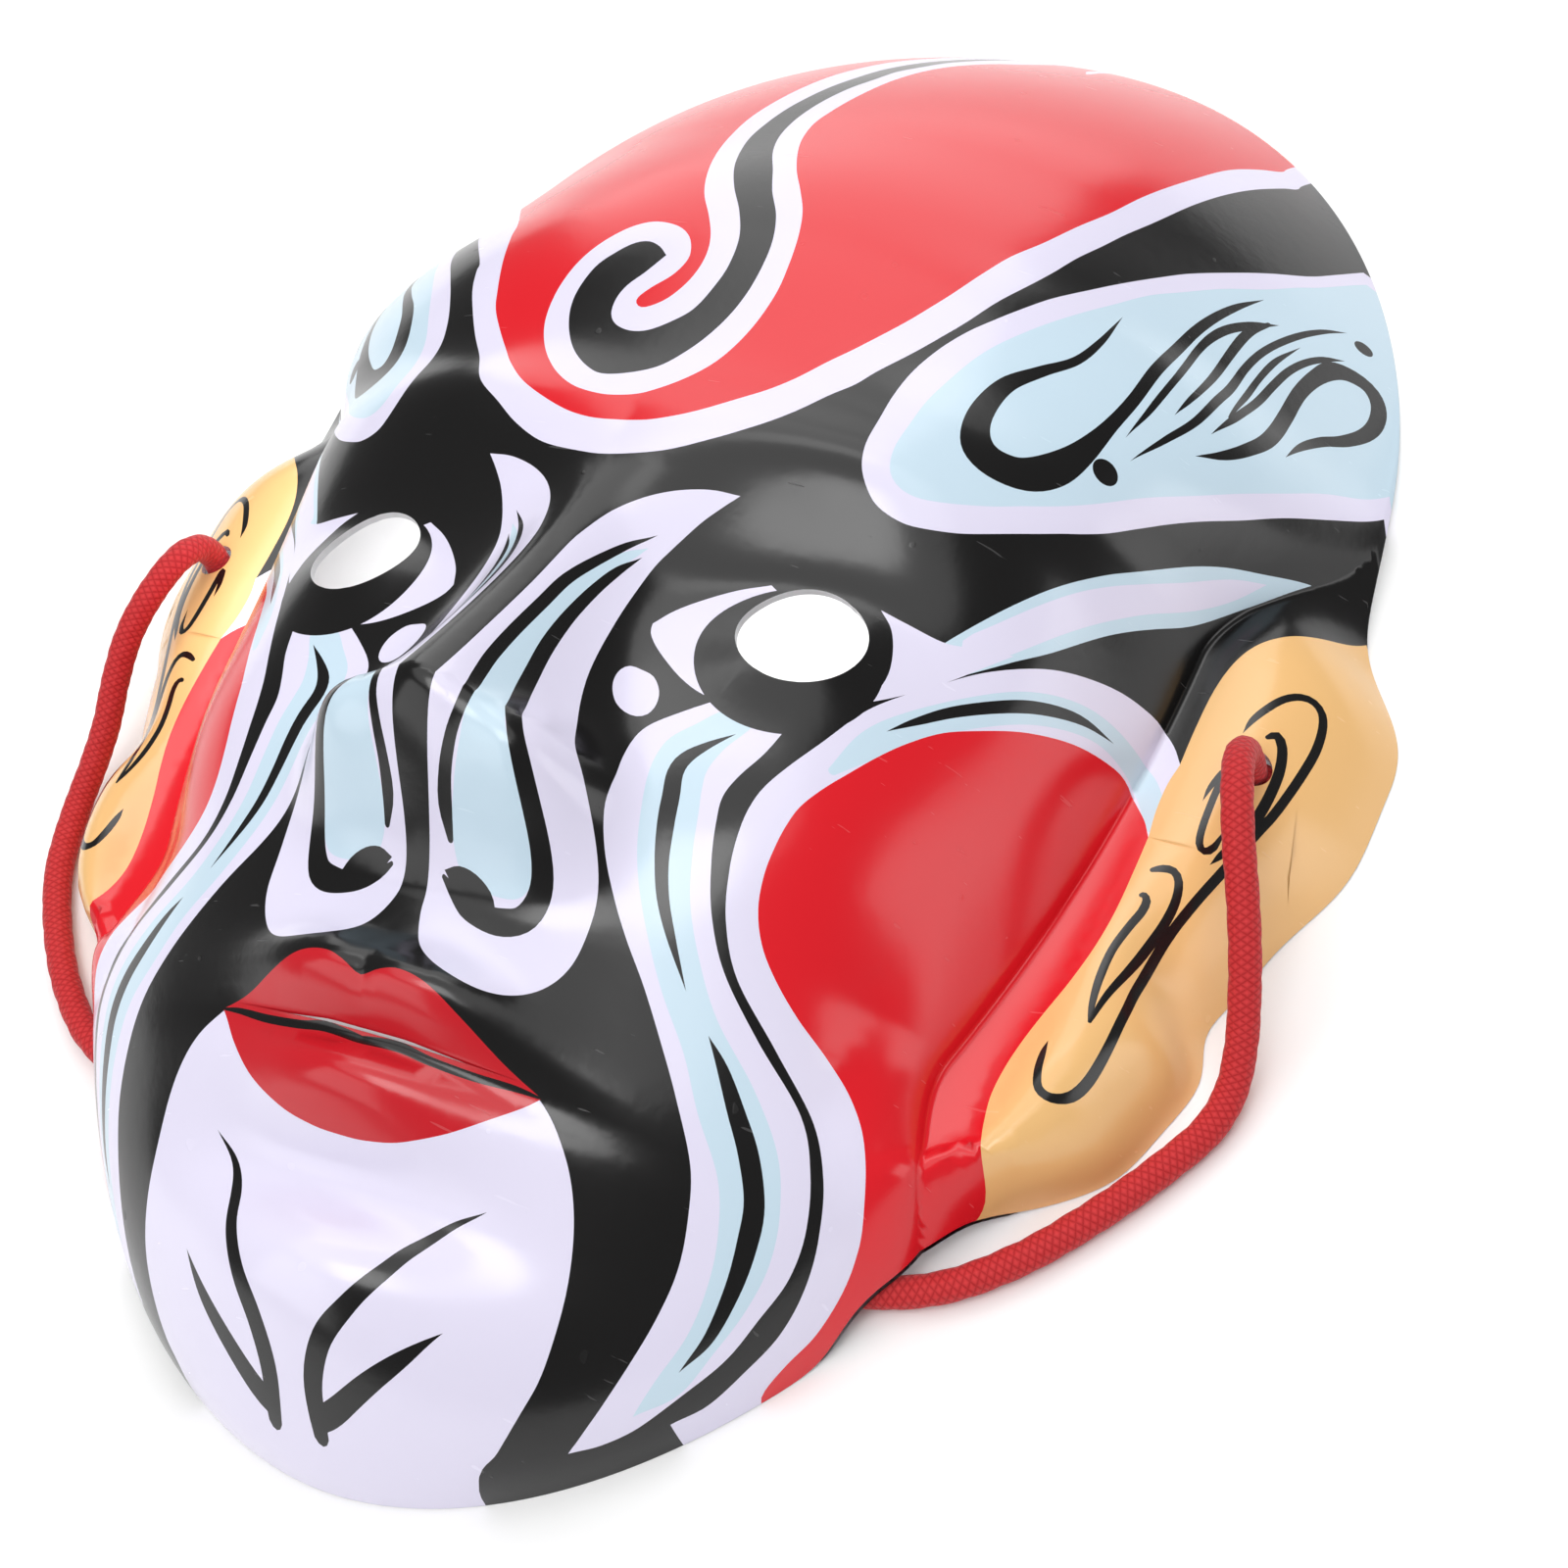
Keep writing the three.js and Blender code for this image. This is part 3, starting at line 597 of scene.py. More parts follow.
CORD_ROUTE = [
    (77.9, -6.2, 11.0), (77.9, -6.2, 14.0), (78.1, -7.4, 17.6), (78.8, -10.4, 20.4),
    (80.2, -15.0, 21.6), (82.0, -20.6, 20.4), (83.9, -26.0, 17.6), (85.4, -31.0, 14.0),
    (86.3, -35.3, 10.3), (86.9, -39.8, 6.4), (86.8, -44.4, 3.4), (85.6, -49.0, 2.2),
    (82.2, -55.2, 2.1), (76.4, -63.5, 2.1), (69.4, -71.5, 2.1), (61.5, -77.4, 2.1),
    (51.0, -80.5, 2.1), (30.0, -80.0, 2.1), (0.0, -78.5, 2.1), (-30.0, -80.0, 2.1),
    (-51.0, -80.5, 2.1), (-61.5, -77.4, 2.1), (-69.4, -71.5, 2.1), (-76.4, -63.5, 2.1),
    (-81.4, -55.5, 2.1), (-83.6, -49.5, 2.1), (-84.3, -44.3, 3.0), (-83.4, -39.4, 5.6),
    (-82.3, -34.4, 9.0), (-81.8, -28.8, 13.0), (-80.8, -23.4, 16.6), (-79.0, -17.4, 19.2),
    (-77.7, -11.4, 19.6), (-77.8, -7.6, 17.2), (-77.9, -6.2, 14.0), (-77.9, -6.2, 11.0),
]
CORD_SIDES, CORD_YARNS, KNURL = 20, 4, 0.035
YARN_SLANT = 3.1  # turn of the braid's waves along one millimetre
YARN_ROUND = 2 * math.pi * CORD_YARNS  # and once round the cord
KNOT_RADIUS, KNOT_GAP, KNOT_TIGHT = 3.9, 0.3, 0.92
KNOT_TURNS = ((0.35, 0.0, 0.30), (-0.45, 1.1, -0.28), (1.35, 2.2, 0.0))  # tilt, spin, shift
TURN_RADIUS, TURN_THICKNESS, KNOT_HEART, KNOT_WAVES = 0.56, 0.40, 0.62, 14.0


def cord_line(step):
    """The route as a dense line, each span curved by its neighbours' distances."""
    p = np.array(CORD_ROUTE)
    ends = np.vstack([2 * p[0] - p[1], p, 2 * p[-1] - p[-2]])
    line = [p[:1]]
    for i in range(1, len(ends) - 2):
        a, b, c, d = ends[i - 1 : i + 3]
        ab, bc, cd = (max(np.linalg.norm(v), 1e-6) ** 0.5 for v in (b - a, c - b, d - c))
        m1 = ((b - a) / ab - (c - a) / (ab + bc) + (c - b) / bc) * bc
        m2 = ((c - b) / bc - (d - b) / (bc + cd) + (d - c) / cd) * bc
        t = np.linspace(0, 1, max(2, int(np.linalg.norm(c - b) / step)) + 1)[1:, None]
        h = (2 * t**3 - 3 * t**2 + 1) * b + (t**3 - 2 * t**2 + t) * m1
        line.append(h + (3 * t**2 - 2 * t**3) * c + (t**3 - t**2) * m2)
    return np.vstack(line)


# ---------------------------------------------------------------- finishes


def tone(code):
    """A colour as light, from the six letters and digits of a colour chart."""
    parts = [int(code[i : i + 2], 16) / 255 for i in (0, 2, 4)]
    return tuple(c / 12.92 if c <= 0.04045 else ((c + 0.055) / 1.055) ** 2.4 for c in parts)


class Reading:
    """One value in a finish. A sum written on it adds its maths to the finish."""

    def __init__(self, finish, socket):
        self.finish, self.socket = finish, socket

    def maths(self, operation, *values):
        made = self.finish.node("ShaderNodeMath", {"operation": operation}, dict(enumerate(values)))
        return made("Value")

    def __add__(self, other):
        return self.maths("ADD", self, other)

    def __sub__(self, other):
        return self.maths("SUBTRACT", self, other)

    def __rsub__(self, other):
        return self.maths("SUBTRACT", other, self)

    def __mul__(self, other):
        return self.maths("MULTIPLY", self, other)

    def __pow__(self, other):
        return self.maths("POWER", self, other)

    def sine(self):
        return self.maths("SINE", self)

    def size(self):
        return self.maths("ABSOLUTE", self)

    __radd__ = __add__
    __rmul__ = __mul__


class Finish:
    """A material under the name of what it finishes."""

    def __init__(self, name):
        self.material = bpy.data.materials.new(name)
        self.material.use_nodes = True
        self.tree = self.material.node_tree
        self.tree.nodes.clear()

    def feed(self, socket, value):
        if isinstance(value, Reading):
            self.tree.links.new(value.socket, socket)
        else:
            socket.default_value = value

    def node(self, kind, settings=None, sockets=None):
        """Adds a node. Its settings are set first, then its sockets' values or links."""
        made = self.tree.nodes.new(kind)
        for name, value in (settings or {}).items():
            if name == "stops":
                for stop, (place, grey) in zip(made.color_ramp.elements, value):
                    stop.position, stop.color = place, (grey, grey, grey, 1)
            else:
                setattr(made, name, value)
        for name, value in (sockets or {}).items():
            self.feed(made.inputs[name], value)
        return lambda output: Reading(self, made.outputs[output])

    def surface(self, sockets):
        skin = self.node("ShaderNodeBsdfPrincipled", None, sockets)
        self.node("ShaderNodeOutputMaterial", None, {"Surface": skin("BSDF")})
        return self.material

    def noise(self, place, scale, detail=2.0, roughness=0.5):
        sockets = {"Vector": place, "Scale": scale, "Detail": detail, "Roughness": roughness}
        return self.node("ShaderNodeTexNoise", None, sockets)("Fac")

    def between(self, value, low, high):
        settings = {"stops": ((low, 0), (high, 1))}
        ramp = self.node("ShaderNodeValToRGB", settings, {"Fac": value})
        return self.node("ShaderNodeSeparateColor", None, {"Color": ramp("Color")})("Red")

    def mixed(self, share, first, second):
        made = self.tree.nodes.new("ShaderNodeMix")
        made.data_type = "RGBA"
        for name, value in (("Factor", share), ("A", first), ("B", second)):
            self.feed(next(s for s in made.inputs if s.name == name and s.enabled), value)
        return Reading(self, next(s for s in made.outputs if s.enabled))


def lighter(colour, share):
    return tuple(c + (1 - c) * share for c in colour[:3]) + (1.0,)


def darker(colour, share):
    return tuple(c * (1 - share) for c in colour[:3]) + (1.0,)


def printed_plastic(name, colour):
    """Thin formed plastic, printed and glossy, with a faint drift and handling marks."""
    f = Finish(name)
    place = f.node("ShaderNodeTexCoord")("Object")
    peel = f.noise(place, 520, 2)
    drift = f.noise(place, 14, 3)
    smudge = f.noise(place, 38, 4, 0.6)
    turned = f.node("ShaderNodeMapping", None, {"Vector": place, "Rotation": (0.3, 0.2, 0.7),
                                                "Scale": (1.0, 14.0, 3.0)})("Vector")
    hair = f.between(f.noise(turned, 90, 2), 0.735, 0.75)
    speck = f.between(f.noise(place, 300, 1), 0.79, 0.81)
    base = f.mixed(drift * 0.10, darker(colour, 0.03), lighter(colour, 0.05))
    base = f.mixed(hair * 0.10, base, lighter(colour, 0.35))
    rough = 0.15 + smudge * 0.10 + hair * 0.15 + speck * 0.12
    height = peel * 0.5 + drift * 1.5 - hair * 0.8 + speck * 0.6
    relief = f.node("ShaderNodeBump", None, {"Strength": 0.10, "Distance": 0.0003,
                                             "Height": height})
    return f.surface({"Base Color": base, "Roughness": rough, "Normal": relief("Normal"),
                      "IOR": 1.49})


def bare_plastic(colour):
    """The unprinted back and cut edge of the sheet, satin and slightly wavy."""
    f = Finish("bare_white_plastic")
    place = f.node("ShaderNodeTexCoord")("Object")
    flow = f.noise(place, 26, 3)
    grain = f.noise(place, 700, 2)
    base = f.mixed(flow * 0.35, lighter(colour, 0.05), darker(colour, 0.06))
    rough = 0.32 + flow * 0.14
    relief = f.node("ShaderNodeBump", None, {"Strength": 0.12, "Distance": 0.0003,
                                             "Height": flow * 1.5 + grain * 0.5})
    return f.surface({"Base Color": base, "Roughness": rough, "Normal": relief("Normal"),
                      "IOR": 1.49})


def braided_elastic(colour):
    """Round elastic in a braided sleeve: slanting yarns with painted shade in the grooves between
    them, and a soft nap.
    """
    f = Finish("braided_red_elastic")
    uv = f.node("ShaderNodeUVMap", {"uv_map": "braid"})("UV")
    split = f.node("ShaderNodeSeparateXYZ", None, {"Vector": uv})
    along, around = split("X"), split("Y")
    right = (along * YARN_SLANT + around * YARN_ROUND).sine().size()
    left = (along * YARN_SLANT - around * YARN_ROUND).sine().size()
    yarn = right.maths("MINIMUM", right, left)
    fuzz = f.noise(f.node("ShaderNodeTexCoord")("Object"), 1500, 3)
    wear = f.noise(f.node("ShaderNodeTexCoord")("Object"), 60, 2)
    # Painted shade: the colour darkens in the grooves between the yarns, following the same waves
    # as the bump.
    base = f.mixed(yarn ** 0.7, darker(colour, 0.42), lighter(colour, 0.03))
    base = f.mixed(fuzz * 0.25, base, lighter(colour, 0.05))
    rough = 0.62 + wear * 0.2
    relief = f.node("ShaderNodeBump", None, {"Strength": 0.5, "Distance": 0.0002,
                                             "Height": yarn * 0.8 + fuzz * 0.25})
    return f.surface({"Base Color": base, "Roughness": rough, "Normal": relief("Normal"),
                      "Specular IOR Level": 0.25, "Sheen Weight": 0.12, "Sheen Roughness": 0.4})


def paper_floor(colour):
    f = Finish("pale_studio_paper")
    place = f.node("ShaderNodeTexCoord")("Object")
    base = f.mixed(f.noise(place, 3, 2) * 0.4, lighter(colour, 0.3), darker(colour, 0.0))
    return f.surface({"Base Color": base, "Roughness": 0.9, "Specular IOR Level": 0.1})


# ---------------------------------------------------------------- settings


def length_setting(name, description, default, low, high):
    return FloatProperty(name=name, description=description, default=default, min=low,
                         max=high, unit="LENGTH", precision=5)


def colour_setting(name, description, code):
    return FloatVectorProperty(name=name, description=description, default=tone(code),
                               size=3, min=0.0, max=1.0, subtype="COLOR")


def light_setting(name, description, default, high):
    return FloatProperty(name=name, description=description, default=default, min=0, max=high)


class MaskSizes(bpy.types.PropertyGroup):
    wall: length_setting("Wall", "Thickness of the formed sheet", 0.001, 0.0006, 0.002)
    eye_hole: length_setting("Eye hole", "Radius of the round eye holes", 0.0075, 0.005, 0.009)
    cord_hole: length_setting("Cord hole", "Radius of the holes that the cord leaves by",
                              0.0026, 0.0022, 0.003)
    cord: length_setting("Cord", "Diameter of the elastic cord", 0.004, 0.003, 0.0042)
    facet: length_setting("Facet", "Spacing of the points that carry the sheet's form",
                          0.0017, 0.001, 0.004)
    line_step: length_setting("Line step", "Spacing of the points along the painted edges",
                              0.0008, 0.0004, 0.002)


class MaskColours(bpy.types.PropertyGroup):
    ground: colour_setting("Ground", "The black between the painted fields", "0F0E0E")
    field: colour_setting("Fields", "The red of forehead and cheeks", "E01724")
    border: colour_setting("Borders", "The lavender white round each field", "E6E1F6")
    core: colour_setting("Cores", "The pale blue inside the borders", "CBE1EF")
    ear: colour_setting("Ears", "The warm tan of the ears", "F2C180")
    lips: colour_setting("Lips", "The red of the lips", "C81A26")
    back: colour_setting("Back", "The bare plastic of back and edge", "EFEEF0")
    cord: colour_setting("Cord", "The red of the elastic", "CC1119")
    floor: colour_setting("Floor", "The studio paper", "FAFAFA")


class MaskStudio(bpy.types.PropertyGroup):
    focal: FloatProperty(name="Focal length", description="Lens of the studio camera",
                         default=62.77, min=20, max=200, unit="CAMERA")
    sky: light_setting("Room light", "Brightness of the white room", 0.18, 5)
    glow: light_setting("Ceiling glow", "Even soft light from straight above", 1.3, 20)
    key: light_setting("Key light", "Softbox behind the crown, in watts", 3.6, 500)
    top: light_setting("Top light", "Softbox over the brow, in watts", 2.9, 500)
    fill: light_setting("Front light", "Softbox before the chin, in watts", 3.0, 500)
    card: light_setting("Back card", "White card behind the crown, in watts", 5.0, 500)
    side: light_setting("Side card", "White card beside the left ear, in watts", 2.0, 500)
    inner: light_setting("Inner light", "Panel under the eyes, in watts", 0.03, 50)


# ---------------------------------------------------------------- pieces


def deselect():
    for thing in bpy.context.selected_objects:
        thing.select_set(False)


def place_mesh(name, vertices, faces, materials):
    mesh = bpy.data.meshes.new(name)
    mesh.from_pydata(np.asarray(vertices, float).tolist(), [], [tuple(f) for f in faces])
    thing = bpy.data.objects.new(name, mesh)
    bpy.context.scene.collection.objects.link(thing)
    for material in materials:
        mesh.materials.append(material)
    return thing


def need(condition, words):
    if not condition:
        raise RuntimeError(words)


FLOOR_SIZE, FLOOR_DROP, GLOW_ANGLE = 6.0, 0.0002, 1.2
CAMERA_PLACE = (0.16509, -0.17767, 0.28772)
CAMERA_RIGHT = (0.8894, 0.3846, -0.2472)
CAMERA_UP = (-0.1943, 0.8073, 0.5572)
CAMERA_BACK = (0.4139, -0.4475, 0.7927)
INNER_PANEL = (-0.02, 0.002, 0.026)


class MASK_OT_stage(bpy.types.Operator):
    """Sets up the camera, the pale floor and the soft studio lights"""

    bl_idname = "mask.stage"
    bl_label = "Studio"

    def execute(self, context):
        studio, colours = context.scene.mask_studio, context.scene.mask_colours
        deselect()
        bpy.ops.object.camera_add()
        camera = context.object
        camera.name = "studio_camera"
        axes = Matrix((CAMERA_RIGHT, CAMERA_UP, CAMERA_BACK)).transposed()
        camera.matrix_world = Matrix.LocRotScale(Vector(CAMERA_PLACE), axes.to_quaternion(), None)
        camera.data.lens, camera.data.sensor_width = studio.focal, 36.0
        camera.data.clip_start, camera.data.clip_end = 0.01, 20.0
        context.scene.camera = camera

        deselect()
        bpy.ops.mesh.primitive_plane_add(size=FLOOR_SIZE, location=(0, 0, -FLOOR_DROP))
        floor = context.object
        floor.name = "studio_floor"
        bpy.ops.object.mode_set(mode="EDIT")
        bpy.ops.mesh.subdivide(number_cuts=5)
        bpy.ops.object.mode_set(mode="OBJECT")
        floor.data.materials.append(paper_floor(tuple(colours.floor)))

        world = bpy.data.worlds.new("white_room")
        world.use_nodes = True
        nodes, links = world.node_tree.nodes, world.node_tree.links
        room = nodes["Background"]
        room.inputs["Color"].default_value = (1.0, 1.0, 1.0, 1.0)
        room.inputs["Strength"].default_value = studio.sky
        sweep = nodes.new("ShaderNodeBackground")
        sweep.inputs["Color"].default_value = (0.95, 0.95, 0.96, 1.0)
        seen, shared = nodes.new("ShaderNodeLightPath"), nodes.new("ShaderNodeMixShader")
        links.new(seen.outputs["Is Camera Ray"], shared.inputs[0])
        links.new(room.outputs[0], shared.inputs[1])
        links.new(sweep.outputs[0], shared.inputs[2])
        links.new(shared.outputs[0], nodes["World Output"].inputs["Surface"])
        context.scene.world = world
        deselect()
        bpy.ops.object.light_add(type="SUN", location=(0, 0, 2))
        glow = context.object
        glow.name = "ceiling_glow"
        glow.data.energy, glow.data.angle = studio.glow, GLOW_ANGLE

        for name, place, size, power in (
            ("crown_softbox", (-0.17, 0.65, 0.88), 0.75, studio.key),
            ("brow_softbox", (0.14, -0.45, 1.0), 0.45, studio.top),
            ("chin_softbox", (-0.48, -0.85, 0.52), 0.8, studio.fill),
            ("back_card", (-0.40, 1.1, 0.22), 1.0, studio.card),
            ("side_card", (1.1, 0.12, 0.14), 0.55, studio.side),
        ):
            deselect()
            bpy.ops.object.light_add(type="AREA", location=place)
            lamp = context.object
            lamp.name = name
            lamp.data.shape, lamp.data.size, lamp.data.energy = "SQUARE", size, power
            lamp.rotation_euler = Vector(place).to_track_quat("Z", "Y").to_euler()
        deselect()
        bpy.ops.object.light_add(type="AREA", location=INNER_PANEL)
        panel = context.object
        panel.name = "inner_panel"
        panel.data.shape, panel.data.size, panel.data.size_y = "RECTANGLE", 0.1, 0.05
        panel.data.energy = studio.inner
        context.scene.view_settings.view_transform = "Standard"
        return {"FINISHED"}


class MASK_OT_cord(bpy.types.Operator):
    """Lays the elastic cord from ear to ear, with its braided sleeve"""

    bl_idname = "mask.cord"
    bl_label = "Elastic cord"

    def execute(self, context):
        radius = context.scene.mask_sizes.cord / 2
        sides, yarns = CORD_SIDES, CORD_YARNS
        line = cord_line(0.4) * MM
        run = np.concatenate([[0], np.cumsum(np.linalg.norm(np.diff(line, axis=0), axis=1))])
        along = np.gradient(line, axis=0)
        along /= np.linalg.norm(along, axis=1)[:, None]
        side = np.cross(along[0], (0, 1, 0))
        rings = []
        angle = np.linspace(0, 2 * math.pi, sides, endpoint=False)
        for i, (point, way) in enumerate(zip(line, along)):
            side = side - way * side.dot(way)
            side /= np.linalg.norm(side)
            other = np.cross(way, side)
            lay = run[i] / MM * YARN_SLANT / 2
            knurl = np.maximum(np.cos(yarns * angle + lay), np.cos(yarns * angle - lay))
            out = (radius * (1 - KNURL + KNURL * knurl))[:, None]
            round_it = side * np.cos(angle)[:, None] + other * np.sin(angle)[:, None]
            rings.append(point + out * round_it)
        vertices = np.vstack(rings + [line[:1], line[-1:]])
        count = len(line)
        faces, uvs = [], []
        for i in range(count - 1):
            for k in range(sides):
                n = (k + 1) % sides
                low, high = i * sides, (i + 1) * sides
                faces.append((low + k, low + n, high + n, high + k))
                a, b = run[i] / MM, run[i + 1] / MM
                u, v = k / sides, (k + 1) / sides
                uvs += [(a, u), (a, v), (b, v), (b, u)]
        for k in range(sides):
            n = (k + 1) % sides
            faces.append((count * sides, n, k))
            last = (count - 1) * sides
            faces.append((count * sides + 1, last + k, last + n))
            uvs += [(0, 0)] * 3 + [(run[-1] / MM, 0)] * 3
        cord = place_mesh("braided_cord", vertices, faces,
                          [braided_elastic(tuple(context.scene.mask_colours.cord))])
        layer = cord.data.uv_layers.new(name="braid")
        layer.data.foreach_set("uv", np.array(uvs, np.float32).ravel())
        for face in cord.data.polygons:
            face.use_smooth = True
        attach(cord, "root")
        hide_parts("elastic_cord")
        return {"FINISHED"}


class MASK_OT_knots(bpy.types.Operator):
    """Ties the knots that hold the cord behind the ears"""

    bl_idname = "mask.knots"
    bl_label = "Knots"

    def execute(self, context):
        elastic = bpy.data.materials.get("braided_red_elastic") or braided_elastic(
            tuple(context.scene.mask_colours.cord))
        for name, node, end in (("tied_knot_left", "knot_left", CORD_ROUTE[0]),
                                ("tied_knot_right", "knot_right", CORD_ROUTE[-1])):
            centre = Vector(end) * MM - Vector((0, 0, (KNOT_GAP + KNOT_RADIUS) * MM))
            tight = KNOT_TIGHT * KNOT_RADIUS * MM
            turns = []
            for tilt, spin, shift in KNOT_TURNS:
                deselect()
                bpy.ops.mesh.primitive_torus_add(
                    location=centre + Vector((0, 0, shift * tight)),
                    rotation=(tilt, 0, spin), major_radius=TURN_RADIUS * tight,
                    minor_radius=TURN_THICKNESS * tight, major_segments=40, minor_segments=18)
                turns.append(context.object)
            deselect()
            bpy.ops.mesh.primitive_uv_sphere_add(location=centre, radius=KNOT_HEART * tight,
                                                 segments=24, ring_count=14)
            turns.append(context.object)
            for turn in turns:
                turn.select_set(True)
            bpy.ops.object.join()
            knot = context.object
            knot.name = knot.data.name = name
            bpy.ops.object.transform_apply(location=True, rotation=True, scale=True)
            self.trim(knot, centre, KNOT_RADIUS * MM)
            layer = knot.data.uv_layers["UVMap"]
            layer.name = "braid"
            wound = np.zeros(len(knot.data.loops) * 2, np.float32)
            layer.data.foreach_get("uv", wound)
            wound[0::2] *= KNOT_WAVES
            layer.data.foreach_set("uv", wound)
            knot.data.materials.clear()
            knot.data.materials.append(elastic)
            for face in knot.data.polygons:
                face.use_smooth = True
            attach(knot, "root")
            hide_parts(node)
        return {"FINISHED"}

    def trim(self, knot, centre, reach):
        """Keeps every part of the knot within its reach of the centre."""
        for vertex in knot.data.vertices:
            out = vertex.co - centre
            if out.length > reach:
                vertex.co = centre + out * (reach / out.length)


class MASK_OT_shell(bpy.types.Operator):
    """Forms the thin sheet of the mask and prints the pattern on its front"""

    bl_idname = "mask.shell"
    bl_label = "Mask sheet"

    def execute(self, context):
        sizes, colours = context.scene.mask_sizes, context.scene.mask_colours
        wall, step = sizes.wall / MM, sizes.line_step / MM
        painted = pattern(step)
        holes = [(side * EYE_X, EYE_Y, sizes.eye_hole / MM) for side in (1, -1)]
        holes += [(side * CORD_HOLE_X, CORD_HOLE_Y, sizes.cord_hole / MM) for side in (1, -1)]
        rim, points, edges = self.plan(painted, holes, sizes.facet / MM)
        xy, faces = self.triangles(points, edges)
        need(len(faces) > 1000, "the sheet's outline could not be filled")

        middle = xy[faces].mean(1)
        kept = inside(middle, rim)
        for x, y, radius in holes:
            kept &= np.hypot(middle[:, 0] - x, middle[:, 1] - y) > radius * 0.996
        faces, middle = faces[kept], middle[kept]
        used, faces = np.unique(faces, return_inverse=True)
        faces, xy = faces.reshape(-1, 3), xy[used]
        a, b, c = (xy[faces[:, k]] for k in range(3))
        ab, ac = b - a, c - a
        turn = ab[:, 0] * ac[:, 1] - ac[:, 0] * ab[:, 1]
        faces[turn < 0] = faces[turn < 0][:, ::-1]

        colour = np.full(len(faces), BLACK)
        for shade, edge in painted:
            colour[inside(middle, edge)] = shade

        border = self.border(faces)
        on_border = np.zeros(len(xy), bool)
        on_border[border.ravel()] = True
        hole_gap = np.min([np.hypot(xy[:, 0] - x, xy[:, 1] - y) - r for x, y, r in holes], axis=0)
        on_rim = on_border & (hole_gap > HOLE_CLEAR)
        front, back, out = self.lift(xy, on_rim, hole_gap, wall)

        count = len(xy)
        walls = []
        for p, q in border:
            walls += [(q, p, p + count), (q, p + count, q + count)]
        all_faces = np.vstack([faces, faces[:, ::-1] + count, np.array(walls)])
        shades = np.concatenate([colour, np.full(len(faces) + len(walls), BARE)])
        need(len(all_faces) < 200_000, "the sheet has too many faces: raise the facet or line step")

        prints = (("ground_black", colours.ground), ("field_red", colours.field),
                  ("border_white", colours.border), ("core_blue", colours.core),
                  ("ear_tan", colours.ear), ("lip_red", colours.lips))
        materials = [printed_plastic("printed_" + n, tuple(t)) for n, t in prints]
        materials.append(bare_plastic(tuple(colours.back)))
        vertices = np.vstack([front, back]) * MM
        shell = place_mesh("painted_mask", vertices, all_faces, materials)
        shell.data.polygons.foreach_set("material_index", shades.astype(np.int32))
        shell.data.polygons.foreach_set("use_smooth", np.ones(len(all_faces), bool))

        corners = vertices[all_faces]
        flat = np.cross(corners[:, 1] - corners[:, 0], corners[:, 2] - corners[:, 0])
        flat /= np.maximum(np.linalg.norm(flat, axis=1), 1e-12)[:, None]
        smooth_out = np.vstack([out, -out])[all_faces]
        first_wall = 2 * len(faces)
        smooth_out[first_wall:] = flat[first_wall:, None, :]
        shell.data.normals_split_custom_set(smooth_out.reshape(-1, 3).tolist())
        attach(shell, "root")
        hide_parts("mask_shell")
        return {"FINISHED"}

    def plan(self, painted, holes, facet):
        """All fixed lines of the plan and the loose points between them."""
        angle = np.linspace(0, 2 * math.pi, RIM_ANGLES, endpoint=False)
        reach = edge_distance(angle)

        def ring(inset):
            r = reach - inset
            return np.column_stack([r * np.cos(angle), CENTRE_Y + r * np.sin(angle)])

        rim = ring(0)
        lines = [rim] + [ring(inset) for inset in RIM_RINGS]
        for x, y, radius in holes:
            lines += [disc(x, y, radius + gap, spacing) for gap, spacing in HOLE_RINGS]
        lines += [edge for _, edge in painted]
        grooves = self.ear_grooves()
        fixed = np.vstack(lines + grooves)
        edges, start = [], 0
        for line in lines:
            n = len(line)
            k = np.arange(n)
            edges.append(np.column_stack([start + k, start + (k + 1) % n]))
            start += n
        for line in grooves:
            k = np.arange(len(line) - 1)
            edges.append(np.column_stack([start + k, start + k + 1]))
            start += len(line)

        columns = np.arange(-PLAN_X, PLAN_X, facet)
        rows = np.arange(-PLAN_Y, PLAN_Y, facet * math.sqrt(3) / 2)
        x, y = np.meshgrid(columns, rows)
        x = x + (np.arange(len(rows)) % 2)[:, None] * facet / 2
        loose = np.column_stack([x.ravel(), y.ravel()])
        loose = loose[inside(loose, ring(LOOSE_INSET))]
        for hx, hy, radius in holes:
            loose = loose[np.hypot(loose[:, 0] - hx, loose[:, 1] - hy) > radius + HOLE_CLEAR]
        taken = set()
        for cx, cy in np.floor(fixed / POINT_GAP).astype(int).tolist():
            for ox in (-1, 0, 1):
                for oy in (-1, 0, 1):
                    taken.add((cx + ox, cy + oy))
        free = [tuple(c) not in taken for c in np.floor(loose / POINT_GAP).astype(int).tolist()]
        return rim, np.vstack([fixed, loose[np.array(free)]]), np.vstack(edges)

    def ear_grooves(self):
        """Lines along the steep groove where the cheek meets the ear."""
        y = np.arange(-82, 60, GROOVE_STEP)
        length, power = egg_length(y)
        rest = 1 - np.abs((y - EGG_Y) / length) ** power
        side = (HALF_WIDTH - narrowing(y)) * rest ** (1 / power)
        room = outline_half_width(y) - np.where(y > 20, 0.6, 1.6)
        lines = []
        for share in GROOVE_SHARES:
            x = side * share
            for run in np.split(np.arange(len(y)), np.nonzero(np.diff(x < room))[0] + 1):
                if len(run) > 3 and x[run[0]] < room[run[0]]:
                    line = np.column_stack([x[run], y[run]])
                    lines += [line, line * (-1, 1)]
        return lines

    def triangles(self, points, edges):
        """Fills the plan with triangles that keep to its fixed lines."""
        places = [Vector(p) for p in points.tolist()]
        made = delaunay_2d_cdt(places, edges.tolist(), [], 0, 1e-4, False)
        return np.array([tuple(v) for v in made[0]], float), np.array([tuple(f) for f in made[2]])

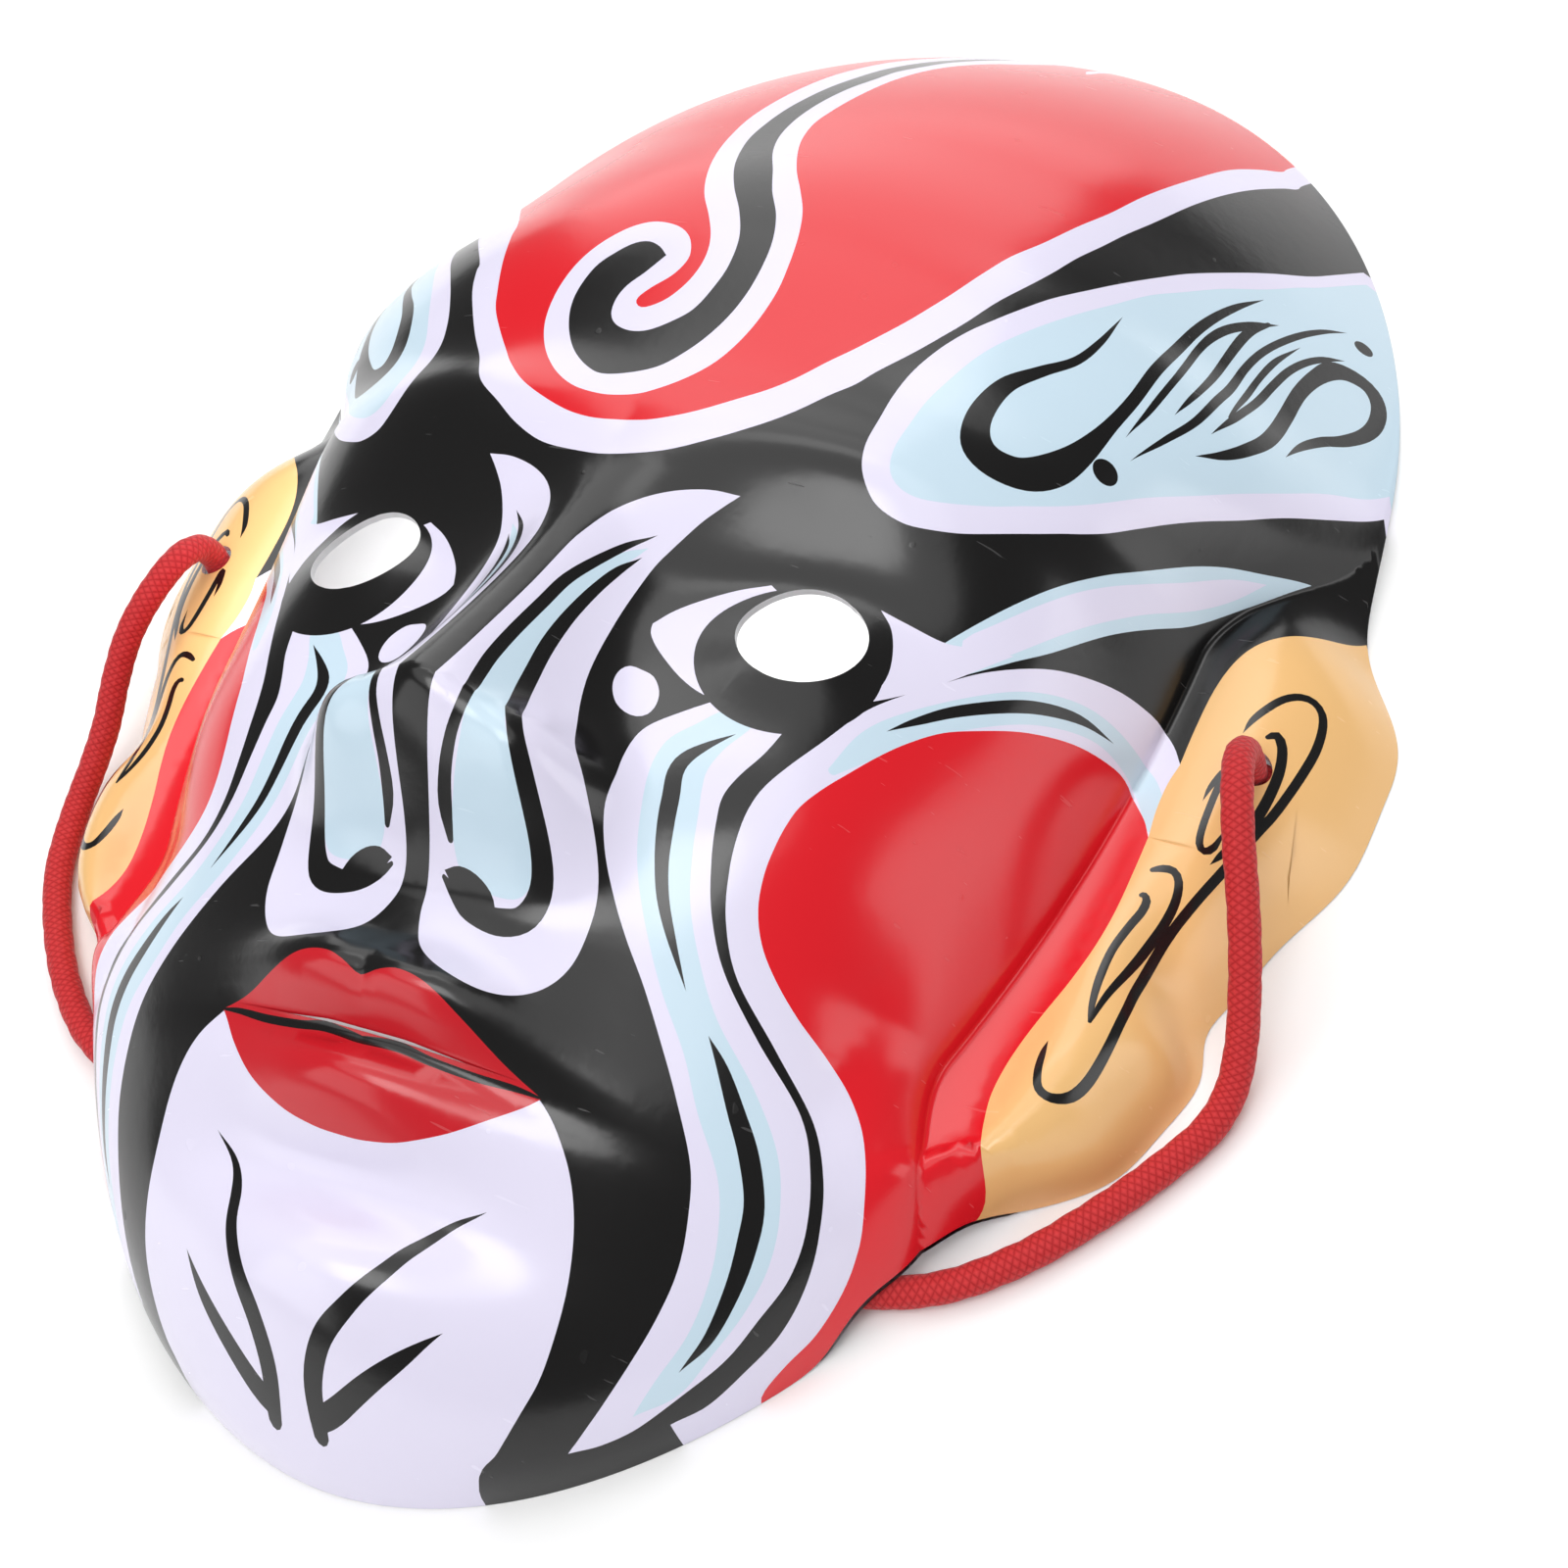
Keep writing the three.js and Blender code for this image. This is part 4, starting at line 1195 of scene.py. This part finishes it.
    def border(self, faces):
        """Edges that only one face has, in that face's direction."""
        sides = np.vstack([faces[:, [0, 1]], faces[:, [1, 2]], faces[:, [2, 0]]])
        big = faces.max() + 1
        keys = sides.min(1).astype(np.int64) * big + sides.max(1)
        _, first, times = np.unique(keys, return_index=True, return_counts=True)
        return sides[first[times == 1]]

    def lift(self, xy, on_rim, hole_gap, wall):
        """Heights and directions of the front, and the back set in by the wall."""
        x, y = xy[:, 0], xy[:, 1]
        dx, dy = x, y - CENTRE_Y
        far = np.maximum(np.hypot(dx, dy), 1e-9)
        dx, dy = dx / far, dy / far
        table = np.linspace(-math.pi, math.pi, 2881)
        reach = np.interp(np.arctan2(dy, dx), table, edge_distance(table))
        inner = np.minimum(far, reach - SLOPE_EDGE)
        gx, gy = inner * dx, CENTRE_Y + inner * dy
        e = SLOPE_STEP
        slope_x = (front_height(gx + e, gy) - front_height(gx - e, gy)) / (2 * e)
        slope_y = (front_height(gx, gy + e) - front_height(gx, gy - e)) / (2 * e)
        steep = np.sqrt(1 + slope_x**2 + slope_y**2)
        out = np.column_stack([-slope_x, -slope_y, np.ones_like(x)]) / steep[:, None]

        lift = rim_lift(x, y)
        z = np.where(on_rim, lift, np.maximum(front_height(x, y), lift))
        front = np.column_stack([x, y, z])
        jaw = np.hypot(np.abs(x) - ARCH_X, y - ARCH_Y) / JAW_REACH
        share = smooth(hole_gap / HOLE_FADE) * (1 - np.exp(-(jaw**4)))
        back = front - out * wall * np.array([1, 1, 0]) * share[:, None]
        low = z - wall * (share * out[:, 2] + (1 - share) * steep)
        over = rim_lift(back[:, 0], back[:, 1])
        under = np.maximum(front_height(back[:, 0], back[:, 1]), over) - LEAST_COVER * wall
        low = np.maximum(low, np.minimum(LOW_BACK, z / 2))
        back[:, 2] = np.maximum(np.minimum(low, under), np.maximum(over - wall, LEAST_LIFT))
        inset = np.column_stack([x - dx * RIM_INSET, y - dy * RIM_INSET, lift])
        back[on_rim] = inset[on_rim]
        return front, back, out


class MASK_PT_sidebar(bpy.types.Panel):
    bl_idname = "MASK_PT_sidebar"
    bl_label = "Opera mask"
    bl_space_type = "VIEW_3D"
    bl_region_type = "UI"
    bl_category = "Opera mask"

    def draw(self, context):
        scene = context.scene
        for group in (scene.mask_sizes, scene.mask_colours, scene.mask_studio):
            box = self.layout.box()
            for name in group.__annotations__:
                box.prop(group, name)
        for operator in (MASK_OT_stage, MASK_OT_knots, MASK_OT_cord, MASK_OT_shell):
            self.layout.operator(operator.bl_idname)


CLASSES = (MaskSizes, MaskColours, MaskStudio, MASK_OT_stage, MASK_OT_cord, MASK_OT_knots,
           MASK_OT_shell, MASK_PT_sidebar)


def register():
    for kind in CLASSES:
        bpy.utils.register_class(kind)
    bpy.types.Scene.mask_sizes = PointerProperty(type=MaskSizes)
    bpy.types.Scene.mask_colours = PointerProperty(type=MaskColours)
    bpy.types.Scene.mask_studio = PointerProperty(type=MaskStudio)


def unregister():
    del bpy.types.Scene.mask_sizes, bpy.types.Scene.mask_colours, bpy.types.Scene.mask_studio
    for kind in reversed(CLASSES):
        bpy.utils.unregister_class(kind)


def main():
    register()
    bpy.ops.mask.stage()
    bpy.ops.mask.knots()
    bpy.ops.mask.cord()
    bpy.ops.mask.shell()


if __name__ == "__main__":
    main()
